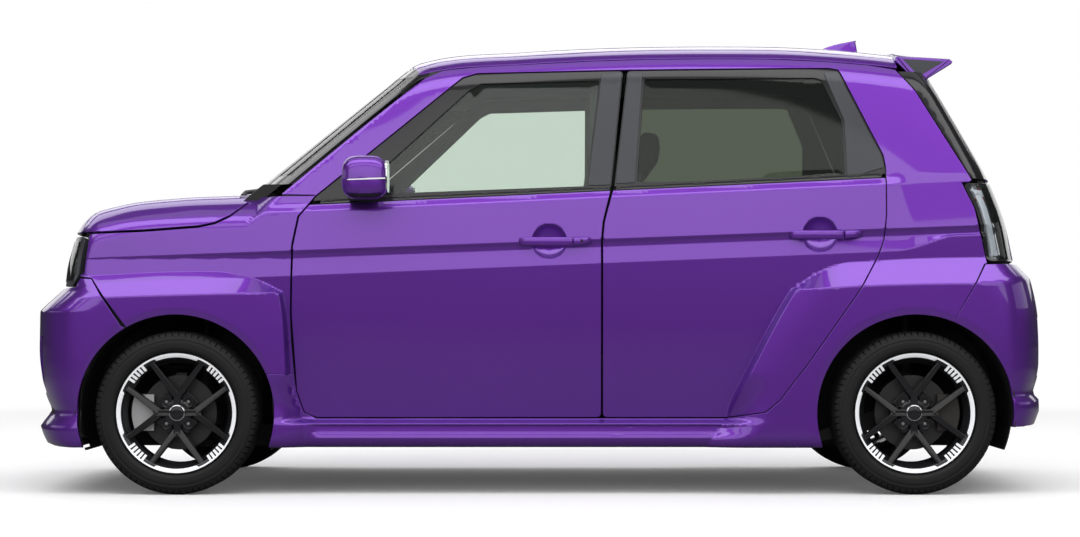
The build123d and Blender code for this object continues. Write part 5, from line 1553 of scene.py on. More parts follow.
@dataclass
class Inside:
    """Structures and arch liners behind the skins."""

    def structures(self) -> None:
        """Inner structures behind the skins, from the CAD nodes."""
        plan = (("side_frame_{side}", "body", DARK_PLASTIC, 36.0),
                ("wing_{side}", "body", DARK_PLASTIC, 14.0),
                ("front_door_{side}", "front_door_{side}", CABIN, 28.0),
                ("rear_door_{side}", "rear_door_{side}", CABIN, 30.0))
        for node, body, finish, depth in plan:
            for side in SIDES:
                name = node.format(side=side)
                Piece(f"{name}_structure", tucked(name, depth), body.format(side=side), finish, "body_paint",
                      (name,)).show()
        for name, body, finish, depth in (("roof", "body", LINING, 14.0),
                                          ("front_bumper", "body", DARK_PLASTIC, 30.0),
                                          ("rear_bumper", "body", DARK_PLASTIC, 12.0),
                                          ("grille_panel", "body", DARK_PLASTIC, 26.0),
                                          ("bonnet", "bonnet", DARK_PLASTIC, 11.0),
                                          ("tailgate", "tailgate", DARK_PLASTIC, 14.0)):
            Piece(f"{name}_structure", tucked(name, depth), body, finish, "body_paint", (name,)).show()

    def arch_liners(self) -> None:
        """Dark lips inside the wheel arches, behind the skins' edges."""
        for name, centre, start, end in (("front", FRONT_ARCH, -18.0, 199.0),
                                         ("rear", REAR_ARCH, -8.0, 199.0)):
            ring = arc(centre, ARCH_RADIUS + 6.0, start, end, 60) + arc(centre, ARCH_RADIUS + 1.5, end,
                                                                        start, 60)
            pair(f"{name}_arch_liner", prism(ring, -WHEEL_Y - 92.0, -WHEEL_Y + 110.0), "body", DARK_PLASTIC,
                 "underbody")


# =====================================================================
# Repeats by Geometry Nodes
# =====================================================================
def ring_tree() -> bpy.types.NodeTree:
    """Node group that repeats its input round the Y axis and gives it a material.

    Returns:
        The group, with inputs Geometry, Count, Turn and Finish.
    """
    tree = bpy.data.node_groups.new("ring_of_copies", "GeometryNodeTree")
    for name, kind in (("Geometry", "NodeSocketGeometry"), ("Count", "NodeSocketInt"),
                       ("Turn", "NodeSocketFloat"), ("Finish", "NodeSocketMaterial")):
        tree.interface.new_socket(name=name, in_out="INPUT", socket_type=kind)
    tree.interface.new_socket(name="Geometry", in_out="OUTPUT", socket_type="NodeSocketGeometry")
    nodes, links = tree.nodes, tree.links
    start, end = nodes.new("NodeGroupInput"), nodes.new("NodeGroupOutput")
    line = nodes.new("GeometryNodeMeshLine")
    line.inputs["Offset"].default_value = (0.0, 0.0, 0.0)
    links.new(start.outputs["Count"], line.inputs["Count"])
    index = nodes.new("GeometryNodeInputIndex")
    turn = nodes.new("ShaderNodeMath")
    turn.operation = "MULTIPLY"
    links.new(index.outputs[0], turn.inputs[0])
    links.new(start.outputs["Turn"], turn.inputs[1])
    angles = nodes.new("ShaderNodeCombineXYZ")
    links.new(turn.outputs[0], angles.inputs["Y"])
    copies = nodes.new("GeometryNodeInstanceOnPoints")
    links.new(line.outputs["Mesh"], copies.inputs["Points"])
    links.new(start.outputs["Geometry"], copies.inputs["Instance"])
    links.new(angles.outputs[0], copies.inputs["Rotation"])
    real = nodes.new("GeometryNodeRealizeInstances")
    links.new(copies.outputs[0], real.inputs[0])
    finish = nodes.new("GeometryNodeSetMaterial")
    links.new(real.outputs[0], finish.inputs["Geometry"])
    links.new(start.outputs["Finish"], finish.inputs["Material"])
    links.new(finish.outputs[0], end.inputs[0])
    return tree


def ring_copies(item: Sheet, count: int, turn_deg: float, finish: object) -> Sheet:
    """Copies of a sheet round the Y axis, made by Geometry Nodes and read back as a plain sheet.

    Args:
        item: The sheet to repeat.
        count: Number of copies.
        turn_deg: Angle between copies.
        finish: The finish.

    Returns:
        All copies in one sheet.
    """
    tree = bpy.data.node_groups.get("ring_of_copies") or ring_tree()
    mesh = bpy.data.meshes.new("item")
    mesh.from_pydata([tuple(p) for p in item.points], [], item.faces)
    holder = bpy.data.objects.new("item", mesh)
    bpy.context.scene.collection.objects.link(holder)
    modifier = holder.modifiers.new("ring", "NODES")
    modifier.node_group = tree
    names = {s.name: s.identifier for s in tree.interface.items_tree if s.in_out == "INPUT"}
    modifier[names["Count"]] = count
    modifier[names["Turn"]] = math.radians(turn_deg)
    modifier[names["Finish"]] = material_of(finish)
    bpy.context.view_layer.update()
    made = bpy.data.meshes.new_from_object(holder.evaluated_get(bpy.context.evaluated_depsgraph_get()))
    result = Sheet(np.array([v.co for v in made.vertices], float), [tuple(p.vertices) for p in made.polygons])
    bpy.data.objects.remove(holder)
    bpy.data.meshes.remove(made)
    return result


# =====================================================================
# Wheels
# =====================================================================
@dataclass
class Wheel:
    """Black alloy wheel with four Y spokes, its tyre and what is bolted to it; outer face towards -Y."""

    flange: float = 206.5
    bead: float = 190.5
    half_rim: float = 83.0
    split: float = 76.0
    fan_deg: float = 27.0
    tip: float = 193.0
    pad_at: float = 53.0

    def point(self, radius: float, angle_deg: float, y: float) -> tuple[float, float, float]:
        """Place on the wheel by radius, angle and depth."""
        a = math.radians(angle_deg)
        return radius * math.cos(a), y, radius * math.sin(a)

    def bar(self, start: tuple, end: tuple, widths: tuple[float, float], faces: tuple[float, float],
            back: tuple[float, float], lean: float) -> Sheet:
        """Spoke between two places in the wheel's plane, with a sharp ridge on one side.

        Args:
            start: (x, z) of the inner end.
            end: (x, z) of the outer end.
            widths: Half widths at each end.
            faces: Y of the outer face at each end.
            back: Y of the inner face at each end.
            lean: Ridge's place across, from -1 to 1.

        Returns:
            A capped loft.
        """
        a, b = np.array(start), np.array(end)
        along = (b - a) / np.linalg.norm(b - a)
        across = np.array([-along[1], along[0]])
        rings = []
        for t in (0.0, 0.25, 0.5, 0.75, 1.0):
            c = a + (b - a) * t
            w = widths[0] + (widths[1] - widths[0]) * t
            f = faces[0] + (faces[1] - faces[0]) * t
            k = back[0] + (back[1] - back[0]) * t
            ring = [(-w, k), (-w, f + 9), (-w * 0.82, f + 4.5), (w * (lean - 0.14), f + 0.8), (w * lean, f),
                    (w * (lean + 0.14), f + 0.8), (w * 0.82, f + 4.5), (w, f + 9), (w, k), (w * 0.7, k + 4),
                    (-w * 0.7, k + 4)]
            rings.append(np.array([(c[0] + across[0] * s, y, c[1] + across[1] * s) for s, y in ring]))
        return loft(rings)

    def barrel(self) -> Sheet:
        """Rim barrel with both flanges."""
        f, h, b = self.flange, self.half_rim, self.bead
        return lathe([(f, -h + 1.5), (f, -h + 6), (b + 1, -h + 10), (b, -58), (178, -44), (178, 22),
                      (b, 42), (b, h - 9),
                      (f, h - 6), (f - 1, h), (b - 4, h - 1), (b - 8, 38), (171, 20), (171, -42), (181, -56),
                      (184, -66), (190, -74), (196, -77), (201, -78.5), (204, -h + 0.8)], 128)

    def spokes(self) -> Sheet:
        """Four stems, each parting into two arms."""
        stem = self.bar((24, 0), (self.split + 6, 0), (16.5, 15.0), (-63.0, -66.0), (-36.0, -38.0), 0.55)
        other = self.bar((24, 0), (self.split + 6, 0), (16.5, 15.0), (-63.0, -66.0), (-36.0, -38.0), -0.55)
        parts = [stem, other]
        for lean in (-1, 1):
            x, _, z = self.point(self.tip, lean * self.fan_deg, 0)
            parts.append(self.bar((self.split - 14, lean * 5.0), (x, z), (12.5, 9.5), (-66.0, -75.5),
                                  (-40.0, -50.0),
                                  -0.72 * lean))
        return ring_copies(joined(parts), 4, 90.0, WHEEL_BLACK)

    def hub(self) -> Sheet:
        """Hub disc, lug pads and the webs between the stems."""
        disc = lathe([(0.5, -60), (30, -62), (42, -60), (47, -56), (47, -30), (62, -26), (62, -22),
                      (0.5, -22)], 64)
        x, _, z = self.point(self.pad_at, 45, 0)
        pad = lathe([(9.5, -44), (11.5, -56), (15, -59.5), (19, -60), (21.5, -57), (23, -34), (9.5, -34)],
                    40).moved(x, 0, z)
        web = []
        for y, grow in ((-34.0, 2.0), (-54.0, 1.0), (-57.5, 0.0)):
            flat = [(16, 34), (34, 16), (58 + grow, 20 + grow), (70 + grow, 33), (33, 70 + grow),
                    (20 + grow, 58 + grow)]
            web.append(np.array([(u, y, v) for u, v in flat], float))
        return disc.joined(ring_copies(pad.joined(loft(web)), 4, 90.0, WHEEL_BLACK))

    def nuts(self) -> Sheet:
        """Six-sided wheel nuts in the pads."""
        x, _, z = self.point(self.pad_at, 45, 0)
        rings = []
        for r, y in ((8.5, -40.0), (8.5, -55.0), (7.2, -57.0), (3.0, -58.5)):
            rings.append(np.array([(x + r * math.cos(a), y, z + r * math.sin(a))
                                   for a in np.linspace(0, 2 * math.pi, 6, endpoint=False)]))
        return ring_copies(loft(rings), 4, 90.0, CASTING)

    def cap(self) -> Sheet:
        """Blank centre cap."""
        return lathe([(0.4, -71), (12, -70.6), (21, -69), (25.5, -66.5), (27.5, -62), (27.5, -56),
                      (0.4, -56)], 56)

    def cap_ring(self) -> Sheet:
        """Bright ring round the cap."""
        return lathe([(24.5, -67.6), (26.8, -66.8), (28.6, -63.6), (28.6, -60), (25, -60)], 56)

    def face_ring(self) -> Sheet:
        """Machined ring: thin all round, wide between the arms of neighbouring spokes; its finish glows, which is
        painted sheen.
        """
        thin = lathe([(198.5, -76.6), (198.5, -81.2), (204.2, -83.0), (205.0, -79.5), (203, -76.6)], 160)
        wide = []
        for a in np.linspace(-22.6, 22.6, 24):
            edge = 190.5 if abs(a) < 20.5 else 190.5 + (abs(a) - 20.5) * 3.2
            profile = ((edge, -72.0), (edge, -76.2), (edge + 1.2, -77.4), (199.2, -81.0), (199.2, -74.0))
            wide.append(np.array([self.point(r, a, y) for r, y in profile]))
        return thin.joined(ring_copies(loft(wide), 4, 90.0, MACHINED_PAINTED_SHEEN))

    def teeth(self) -> Sheet:
        """Five bright bars on each diagonal, inside the ring; their finish glows, so part of their brightness is
        painted sheen.
        """
        bars = []
        for angle in (36.2, 40.6, 45.0, 49.4, 53.8):
            a = math.radians(angle)
            side = np.array([-math.sin(a), math.cos(a)])
            rings = []
            for r, y in ((177.0, -66.0), (179.0, -72.5), (199.5, -79.5), (200.5, -74.0)):
                mid = np.array([r * math.cos(a), r * math.sin(a)])
                rings.append([mid - side * 4.3, mid + side * 4.3, y])
            outline = [np.array([(q[0][0], q[2], q[0][1]) for q in rings]),
                       np.array([(q[1][0], q[2], q[1][1]) for q in rings])]
            bars.append(loft(outline))
        return ring_copies(joined(bars), 4, 90.0, MACHINED_PAINTED_SHEEN)

    def carcass(self) -> Sheet:
        """Tyre with tread grooves, shoulder steps and ribs on its walls."""
        r, half, bead = TYRE_RADIUS, TYRE_WIDTH / 2, self.bead + 0.6
        wall = [(bead, half - 19), (self.flange + 2, half - 18.5), (self.flange + 3.5, half - 13),
                (self.flange + 7, half - 7),
                (220, half - 3.2), (222, half - 2.0), (225, half - 1.6), (236, half - 0.6), (244, half - 0.8),
                (247, half - 2.2), (249, half - 2.2), (252, half - 1.6), (258, half - 3.6), (262, half - 6.2),
                (264, half - 9.5), (267, half - 12.5), (270, half - 17.5), (r - 6.0, half - 23),
                (r - 5.0, half - 27)]
        tread = []
        for start, end in ((half - 27.5, 47.0), (39.0, 17.5), (9.5, 0.0)):
            tread += [(r - 0.3, start - 2.0), (r, end + 3.0), (r - 0.3, end + 0.6)]
            if end > 0:
                tread += [(r - 7.0, end - 1.0), (r - 7.0, end - 7.0)]
        half_line = [*wall, *tread]
        inner = [(r - 15, half - 34), (240, half - 13), (215, half - 22), (bead, half - 30)]
        section = [*half_line, *[(q, -y) for q, y in reversed(half_line)],
                   *[(q, -y) for q, y in reversed(inner)], *inner]
        clean = [p for i, p in enumerate(section) if math.dist(p, section[i - 1]) > 0.2]
        return lathe(clean, 144)

    def blocks(self) -> Sheet:
        """Raised shoulder blocks of the tread."""
        r, half = TYRE_RADIUS, TYRE_WIDTH / 2
        items = []
        for way in (-1, 1):
            rings = []
            for a in (-1.9, 1.9):
                profile = ((r - 18.5, half - 5.4), (r - 13.0, half - 6.6), (r - 6.0, half - 11.6),
                           (r - 1.8, half - 18.5),
                           (r - 0.2, half - 27.5), (r - 6.0, half - 28.0), (r - 17.0, half - 14))
                rings.append(np.array([self.point(q, a + (half - y) * 0.045, way * y) for q, y in profile]))
            items.append(loft(rings))
        return ring_copies(joined(items), 76, 360 / 76, TYRE)

    def build(self) -> None:
        """Show all four wheels."""
        parts = (("rim", self.barrel().joined(self.spokes()).joined(self.hub()), WHEEL_BLACK, "wheel_black"),
                 ("rim_nuts", self.nuts(), CASTING, "wheel_black"),
                 ("rim_cap", self.cap(), WHEEL_BLACK, "wheel_black"),
                 ("rim_cap_ring", self.cap_ring(), CHROME, "wheel_black"),
                 ("rim_face_ring", self.face_ring(), MACHINED_PAINTED_SHEEN, "wheel_black"),
                 ("rim_teeth", self.teeth(), MACHINED_PAINTED_SHEEN, "wheel_black"),
                 ("tyre", self.carcass().joined(self.blocks()), TYRE, "tyre_rubber"))
        for corner, axle in (("front", FRONT_AXLE_X), ("rear", REAR_AXLE_X)):
            for name, sheet, finish, slot in parts:
                stands = (f"{name}_{corner}_" + "{side}",) if name in ("rim", "tyre") else ()
                pair(f"{name}_{corner}_wheel", sheet.moved(axle, -WHEEL_Y, TYRE_RADIUS),
                     f"wheel_{corner}_" + "{side}",
                     finish, slot, stands, crease_deg=28.0)
            self.disc(corner, axle)

    def disc(self, corner: str, axle: float) -> None:
        """Brake disc with vents and a hat."""
        rotor = lathe([(68, -14.5), (128, -14.5), (128, -7.5), (123, -7.5), (123, -2.0), (128, -2.0),
                       (128, 8), (68, 8),
                       (68, 22), (0.5, 22), (0.5, 17), (60, 17), (62, -19.5), (40, -21.5), (0.5, -21.5),
                       (0.5, -21.9),
                       (64, -21.9), (67, -20)], 96)
        rotor = Sheet(rotor.points * np.array([1, -1, 1]), [tuple(reversed(f)) for f in rotor.faces])
        pair(f"disc_{corner}_wheel", rotor.moved(axle, -WHEEL_Y, TYRE_RADIUS),
             f"wheel_{corner}_" + "{side}", DISC,
             "disc_steel", (f"disc_{corner}_" + "{side}",))


# =====================================================================
# Mirrors, handles and small outside pieces
# =====================================================================
def rounded_ring(centre: tuple[float, float], half: tuple[float, float], power: float,
                 count: int = 40) -> np.ndarray:
    """Squared-off oval as (u, v) points."""
    turns = np.linspace(0, 2 * math.pi, count, endpoint=False)
    c, s = np.cos(turns), np.sin(turns)
    u = centre[0] + half[0] * np.sign(c) * np.abs(c) ** (2 / power)
    v = centre[1] + half[1] * np.sign(s) * np.abs(s) ** (2 / power)
    return np.column_stack([u, v])


def cut(sheet: Sheet, z: float, above: bool) -> Sheet:
    """Part of a closed sheet above or below a height, closed again."""
    work = bmesh.new()
    verts = [work.verts.new(p) for p in sheet.points]
    for face in sheet.faces:
        work.faces.new([verts[i] for i in face])
    made = bmesh.ops.bisect_plane(work, geom=[*work.verts, *work.edges, *work.faces], plane_co=(0, 0, z),
                                  plane_no=(0, 0, 1), clear_outer=not above, clear_inner=above)
    edges = [e for e in made["geom_cut"] if isinstance(e, bmesh.types.BMEdge)]
    bmesh.ops.holes_fill(work, edges=edges)
    work.verts.index_update()
    result = Sheet(np.array([v.co for v in work.verts]),
                   [tuple(v.index for v in f.verts) for f in work.faces])
    work.free()
    return result


@dataclass
class Mirrors:
    """Door mirrors: painted case, black foot and lower lip, a light strip and the glass."""

    centre: tuple[float, float] = (-586.0, 1077.0)
    middle_y: float = -825.0
    squareness: float = 3.3
    lip_z: float = 1022.0
    lip_scale: float = 0.97
    strip_z: tuple[float, float] = (1062.0, 1069.0)
    strip_depth: float = 14.0
    outer_y: float = -904.4
    # distance out, half length, half height, lift
    stations: tuple = ((746, 30, 26, -12), (752, 52, 52, -6), (764, 68, 67, -2), (790, 76, 74, 0),
                       (830, 78, 75.5, 0),
                       (866, 77, 74, 0), (886, 72, 68, 0), (898, 60, 56, 0), (903.5, 40, 38, 0))
    # distance out, stand-off, rear end in x
    strip: tuple = ((770, 0.0, -515.5), (800, 1.5, -511.5), (840, 1.8, -508.0), (868, 0.6, -507.5),
                    (886, -4.5, -512.0))
    line: tuple = ((-640, 1066), (-560, 1068.5), (-512, 1070), (-512, 1074.5), (-560, 1073.5), (-638, 1069.5))
    foot: tuple = ((-650, 1003), (-548, 1006), (-552, 1050), (-640, 1050))
    body: str = "front_door_{side}"

    def case(self) -> Sheet:
        """Closed shell of the whole mirror."""
        rings = []
        for y, long, high, lift in self.stations:
            place = (self.centre[0] + (y - 830) * 0.05, self.centre[1] + lift)
            rings.append(np.array([(u, -y, v) for u, v in rounded_ring(place, (long, high),
                                                                       self.squareness)]))
        return loft(rings)

    def light(self) -> Sheet:
        """Light strip that wraps the case's rear edge."""
        low, high = self.strip_z
        rings = []
        for y, out, reach in self.strip:
            back, front = reach - self.strip_depth, reach + 1.5
            rings.append(np.array([(back, -y - out, low), (front, -y - out, low), (front, -y - out, high),
                                   (back, -y - out, high)], float))
        return loft(rings)

    def build(self) -> None:
        """Show both mirrors."""
        case = self.case()
        pair("mirror_case", cut(case, self.lip_z, True), self.body, PAINT, "mirror_case", ("mirror_{side}",),
             crease_deg=60.0)
        middle = np.array([self.centre[0], self.middle_y, self.centre[1]])
        small = Sheet((case.points - middle) * self.lip_scale + middle, case.faces)
        pair("mirror_lip", cut(small, self.lip_z - 1.0, False), self.body, BLACK_GLOSS, "dark_plastic",
             crease_deg=60.0)
        pair("mirror_light", self.light(), self.body, LAMP_WHITE, "lamp_glass")
        pair("mirror_light_line", prism(self.line, self.outer_y, -892), self.body, CHROME, "lamp_glass")
        pair("mirror_foot", prism(self.foot, -756, -702), self.body, BLACK_GLOSS, "dark_plastic", bevel=6.0)
        pane = loft([np.array([(x, -u, v) for u, v in rounded_ring((826, 1082), (60, 54), 3.6)])
                     for x in (-515.0, -507.2)])
        pair("mirror_glass", pane, self.body, CHROME, "clear_glass")


@dataclass
class Handles:
    """Door handles: a bar over the bowl, its fixed end cap and a blank lock cover."""

    length: float = 250.0
    bar_thick: float = 7.0
    end_thick: float = 13.0
    end_rise: float = 14.0
    # share of the length, stand-off, half height
    bar: tuple = ((0.0, 1.0, 9), (0.02, 9.0, 12.5), (0.06, 18.0, 14.5), (0.2, 24.0, 15), (0.5, 25.5, 15),
                  (0.73, 24, 15), (0.742, 21.5, 14.2))
    end: tuple = ((0.752, 21, 14), (0.764, 23.5, 15), (0.86, 22.0, 14.5), (0.95, 15.0, 13), (0.99, 7.0, 11),
                  (1.0, 1.0, 8))

    def lofted(self, stations: tuple, start: tuple[float, float], base: float, thick: float,
               rise: float) -> Sheet:
        """Loft one part of the handle.

        Args:
            stations: Share of the length, stand-off and half height of each ring.
            start: The handle's front end, (x, z).
            base: The door surface's distance out.
            thick: Half thickness of the part.
            rise: How far it climbs over its length, from the cap on.

        Returns:
            The closed part on the left side.
        """
        rings = []
        for share, out, half in stations:
            x = start[0] + 2 + share * self.length
            ring = rounded_ring((0, 0), (half, thick), 3.0, 20)
            rings.append(np.array([(x, -(base + out - thick + v), start[1] + u + (share - 0.75) * rise)
                                   for u, v in ring]))
        return loft(rings)

    def build(self) -> None:
        """Show the four handles and the front doors' lock covers."""
        for name, start in (("front", FRONT_HANDLE), ("rear", REAR_HANDLE)):
            body = name + "_door_{side}"
            base = float(BODY.side(np.array([start[0] - 30.0]), np.array([start[1] + 20.0]))[0])
            for part, stations, thick, rise in (("bar", self.bar, self.bar_thick, 0.0),
                                                ("end", self.end, self.end_thick, self.end_rise)):
                pair(f"{name}_handle_{part}", self.lofted(stations, start, base, thick, rise), body, PAINT,
                     "body_paint", crease_deg=50)
            if name == "front":
                lock = lathe([(0.3, -1.5), (4.0, -1.2), (5.0, 0), (5.0, 4), (0.3, 4)], 24)
                pair("front_handle_lock", lock.moved(start[0] + 218, -(base + 21.5), start[1] + 3), body,
                     BLACK_GLOSS, "dark_plastic")


@dataclass
class Spoiler:
    """Tailgate spoiler: a blade that droops and narrows to its ends, each closed by a painted rim round a dark
    graphite plate that stands for the shade in the end's recess, which is painted shade.
    """

    middle: tuple = ((1252, 1552), (1262, 1565), (1370, 1552), (1478, 1533), (1488, 1525), (1480, 1516),
                     (1400, 1476), (1372, 1488))
    ends: tuple = ((1246, 1502), (1250, 1518), (1334, 1515), (1438, 1509), (1449, 1500), (1443, 1491),
                   (1345, 1430), (1306, 1444))
    rim: tuple = ((1252, 1516), (1440, 1507), (1346, 1434), (1312, 1444))
    # Outline of the dark plate on each end: painted shade for the end's recess.
    inset: tuple = ((1272, 1509), (1418, 1500), (1330, 1448))
    droop: float = 2.6

    def build(self) -> None:
        """Show the spoiler."""
        half = -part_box("spoiler")[0].y / MM
        rings = []
        for share in np.linspace(-1, 1, 21):
            mix, y = abs(share) ** self.droop, share * (half - 1.0)
            rings.append(np.array([(a[0] + (b[0] - a[0]) * mix, y, a[1] + (b[1] - a[1]) * mix)
                                   for a, b in zip(self.middle, self.ends)]))
        Piece("spoiler_blade", loft(rings), "tailgate", PAINT, "body_paint", ("spoiler",), bevel=4.0).show()
        pair("spoiler_end_rim", prism(self.rim, -half - 5.0, -half + 2), "tailgate", PAINT, "body_paint",
             bevel=4.0)
        # Dark graphite plate over the end's recess: painted shade.
        pair("spoiler_end_inset", prism(self.inset, -half - 5.6, -half - 4), "tailgate", GRAPHITE,
             "dark_plastic",
             bevel=0.8)


@dataclass
class Wipers:
    """Windscreen wipers over a cowl trim, and the rear window's wiper with its hub."""

    # name, path, radius, finish
    front: tuple = (
        ("wiper_left_blade", ((-1000, -420, 1046), (-1014, -200, 1058), (-1018, 40, 1062),
                              (-1014, 240, 1060)),
         6.0, RUBBER_SEAL),
        ("wiper_left_arm", ((-1040, -520, 1030), (-1034, -470, 1046), (-1018, -200, 1066)), 8.0,
         DARK_PLASTIC),
        ("wiper_right_blade", ((-1008, 200, 1068), (-1000, 420, 1058), (-976, 560, 1050)), 6.0, RUBBER_SEAL),
    )
    rear: tuple = ((1596, 0, 1120), (1600, -60, 1118), (1592, -180, 1124), (1578, -300, 1132))
    hub: tuple = ((0.5, -16), (14, -14), (20, -6), (20, 14), (0.5, 14))
    cowl: tuple = ((-1085, 1030), (-1012, 1036), (-1010, 1062), (-1030, 1062), (-1074, 1046))
    cowl_half: float = 590.0
    cowl_drop: float = 24.0

    def build(self) -> None:
        """Show the wipers and the cowl trim."""
        for name, path, radius, finish in self.front:
            Piece(name, tube(path, radius), "body", finish, "dark_plastic").show()
        rings = []
        for y in np.linspace(-self.cowl_half, self.cowl_half, 23):
            back, drop = float(BODY.bowed(np.abs(y), 1057.0)), self.cowl_drop * (y / 587) ** 2
            rings.append(np.array([(x + back, y, z - drop) for x, z in self.cowl]))
        Piece("cowl_trim", loft(rings), "body", DARK_PLASTIC, "dark_plastic", bevel=3.0).show()

    def build_rear(self) -> None:
        """Show the rear window's wiper."""
        Piece("rear_wiper", tube(self.rear, 7.0), "tailgate", DARK_PLASTIC, "dark_plastic").show()
        nub = lathe(self.hub, 32).turned(Matrix.Rotation(math.radians(90), 4, "Z"))
        Piece("rear_wiper_hub", nub.moved(1600, 0, 1112), "tailgate", BLACK_GLOSS, "dark_plastic").show()


@dataclass
class Trim:
    """The roof's aerial fin and the blank number plates."""

    fin_height: float = 73.0
    fin_foot_z: float = 1562.0
    fin_half: float = 9.0
    plate_half: float = 165.0
    plate_rise: float = 82.0
    front_plate_z: float = 440.0
    rear_plate_z: float = 480.0

    def fin(self) -> None:
        """Swept aerial fin that thins towards its tip."""
        rings = []
        for t in np.linspace(0, 1, 15):
            half = self.fin_half * (1 - 0.8 * t)
            front = 1044 + 134 * max(0.0, (t - 0.35) / 0.65) ** 2.2
            back = 1196 - 18 * t ** 0.6
            ring = rounded_ring(((front + back) / 2, 0), (max(3.0, (back - front) / 2), half), 2.2, 24)
            rings.append(np.array([(u, v, self.fin_foot_z + self.fin_height * t) for u, v in ring]))
        Piece("aerial_fin", loft(rings), "body", PAINT, "body_paint", crease_deg=50).show()

    def plates(self) -> None:
        """Blank plates on the bumpers' flat seats."""
        for end, x, z, way in (("front", NOSE_X, self.front_plate_z, 1.0),
                               ("rear", TAIL_X, self.rear_plate_z, -1.0)):
            lows = sorted((x + way * 12, x + way * 19))
            plate = box((lows[0], -self.plate_half, z - self.plate_rise),
                        (lows[1], self.plate_half, z + self.plate_rise))
            Piece(f"{end}_plate_blank", plate, "body", PLATE, "dark_plastic", bevel=2.0).show()


# =====================================================================
# Cabin
# =====================================================================
def slab(low: Sequence[float], high: Sequence[float], lean_deg: float, pivot: tuple[float, float]) -> Sheet:
    """Rounded block that leans back about a side-view pivot."""
    centre = [(a + b) / 2 for a, b in zip(low, high)]
    half = [(b - a) / 2 for a, b in zip(low, high)]
    rings = []
    for t in (-1.0, -0.94, -0.7, 0.0, 0.7, 0.94, 1.0):
        scale = {1.0: 0.72, 0.94: 0.93, 0.7: 1.0, 0.0: 1.0}[abs(t)]
        ring = rounded_ring((centre[0], centre[2]), (half[0] * (0.4 + 0.6 * scale), half[2] * scale), 4.5, 48)
        rings.append(np.array([(u, centre[1] + t * half[1], v) for u, v in ring]))
    made = loft(rings)
    turn = Matrix.Rotation(math.radians(lean_deg), 4, "Y")
    return made.moved(-pivot[0], 0, -pivot[1]).turned(turn).moved(pivot[0], 0, pivot[1])


def cushioned(name: str, sheet: Sheet, cap: float = 24.0, voxel: float = 6.0) -> Sheet:
    """Padding: the block is remeshed, swelled as cloth under pressure, capped and smoothed.

    Args:
        name: Name for the work object.
        sheet: The block.
        cap: How far a point may move, in millimetres.
        voxel: Remesh size in millimetres.

    Returns:
        The swelled sheet.
    """
    mesh = bpy.data.meshes.new(name)
    mesh.from_pydata([tuple(p) for p in sheet.points * MM], [], sheet.faces)
    work = bmesh.new()
    work.from_mesh(mesh)
    bmesh.ops.recalc_face_normals(work, faces=work.faces)
    work.to_mesh(mesh)
    work.free()
    pad = bpy.data.objects.new(name, mesh)
    bpy.context.scene.collection.objects.link(pad)
    remesh = pad.modifiers.new("even", "REMESH")
    remesh.mode, remesh.voxel_size = "VOXEL", voxel * MM
    even = bpy.data.meshes.new_from_object(pad.evaluated_get(bpy.context.evaluated_depsgraph_get()))
    pad.modifiers.clear()
    pad.data = even
    rest = np.array([v.co for v in even.vertices], float)
    cloth = pad.modifiers.new("swell", "CLOTH")
    cloth.settings.use_pressure = True
    cloth.settings.uniform_pressure_force = 4.0
    cloth.settings.quality = 4
    cloth.settings.effector_weights.gravity = 0.0
    cloth.settings.tension_stiffness = cloth.settings.compression_stiffness = 12.0
    cloth.point_cache.frame_start, cloth.point_cache.frame_end = 1, 20
    for step in range(1, 21):
        bpy.context.scene.frame_set(step)
    made = bpy.data.meshes.new_from_object(pad.evaluated_get(bpy.context.evaluated_depsgraph_get()))
    points = np.array([v.co for v in made.vertices], float)
    move = points - rest
    length = np.linalg.norm(move, axis=1, keepdims=True)
    points = rest + move * np.minimum(1.0, cap * MM / np.maximum(length, 1e-9))
    faces = [tuple(p.vertices) for p in made.polygons]
    bpy.data.objects.remove(pad)
    bpy.context.scene.frame_set(1)
    return Sheet(points / MM, faces)


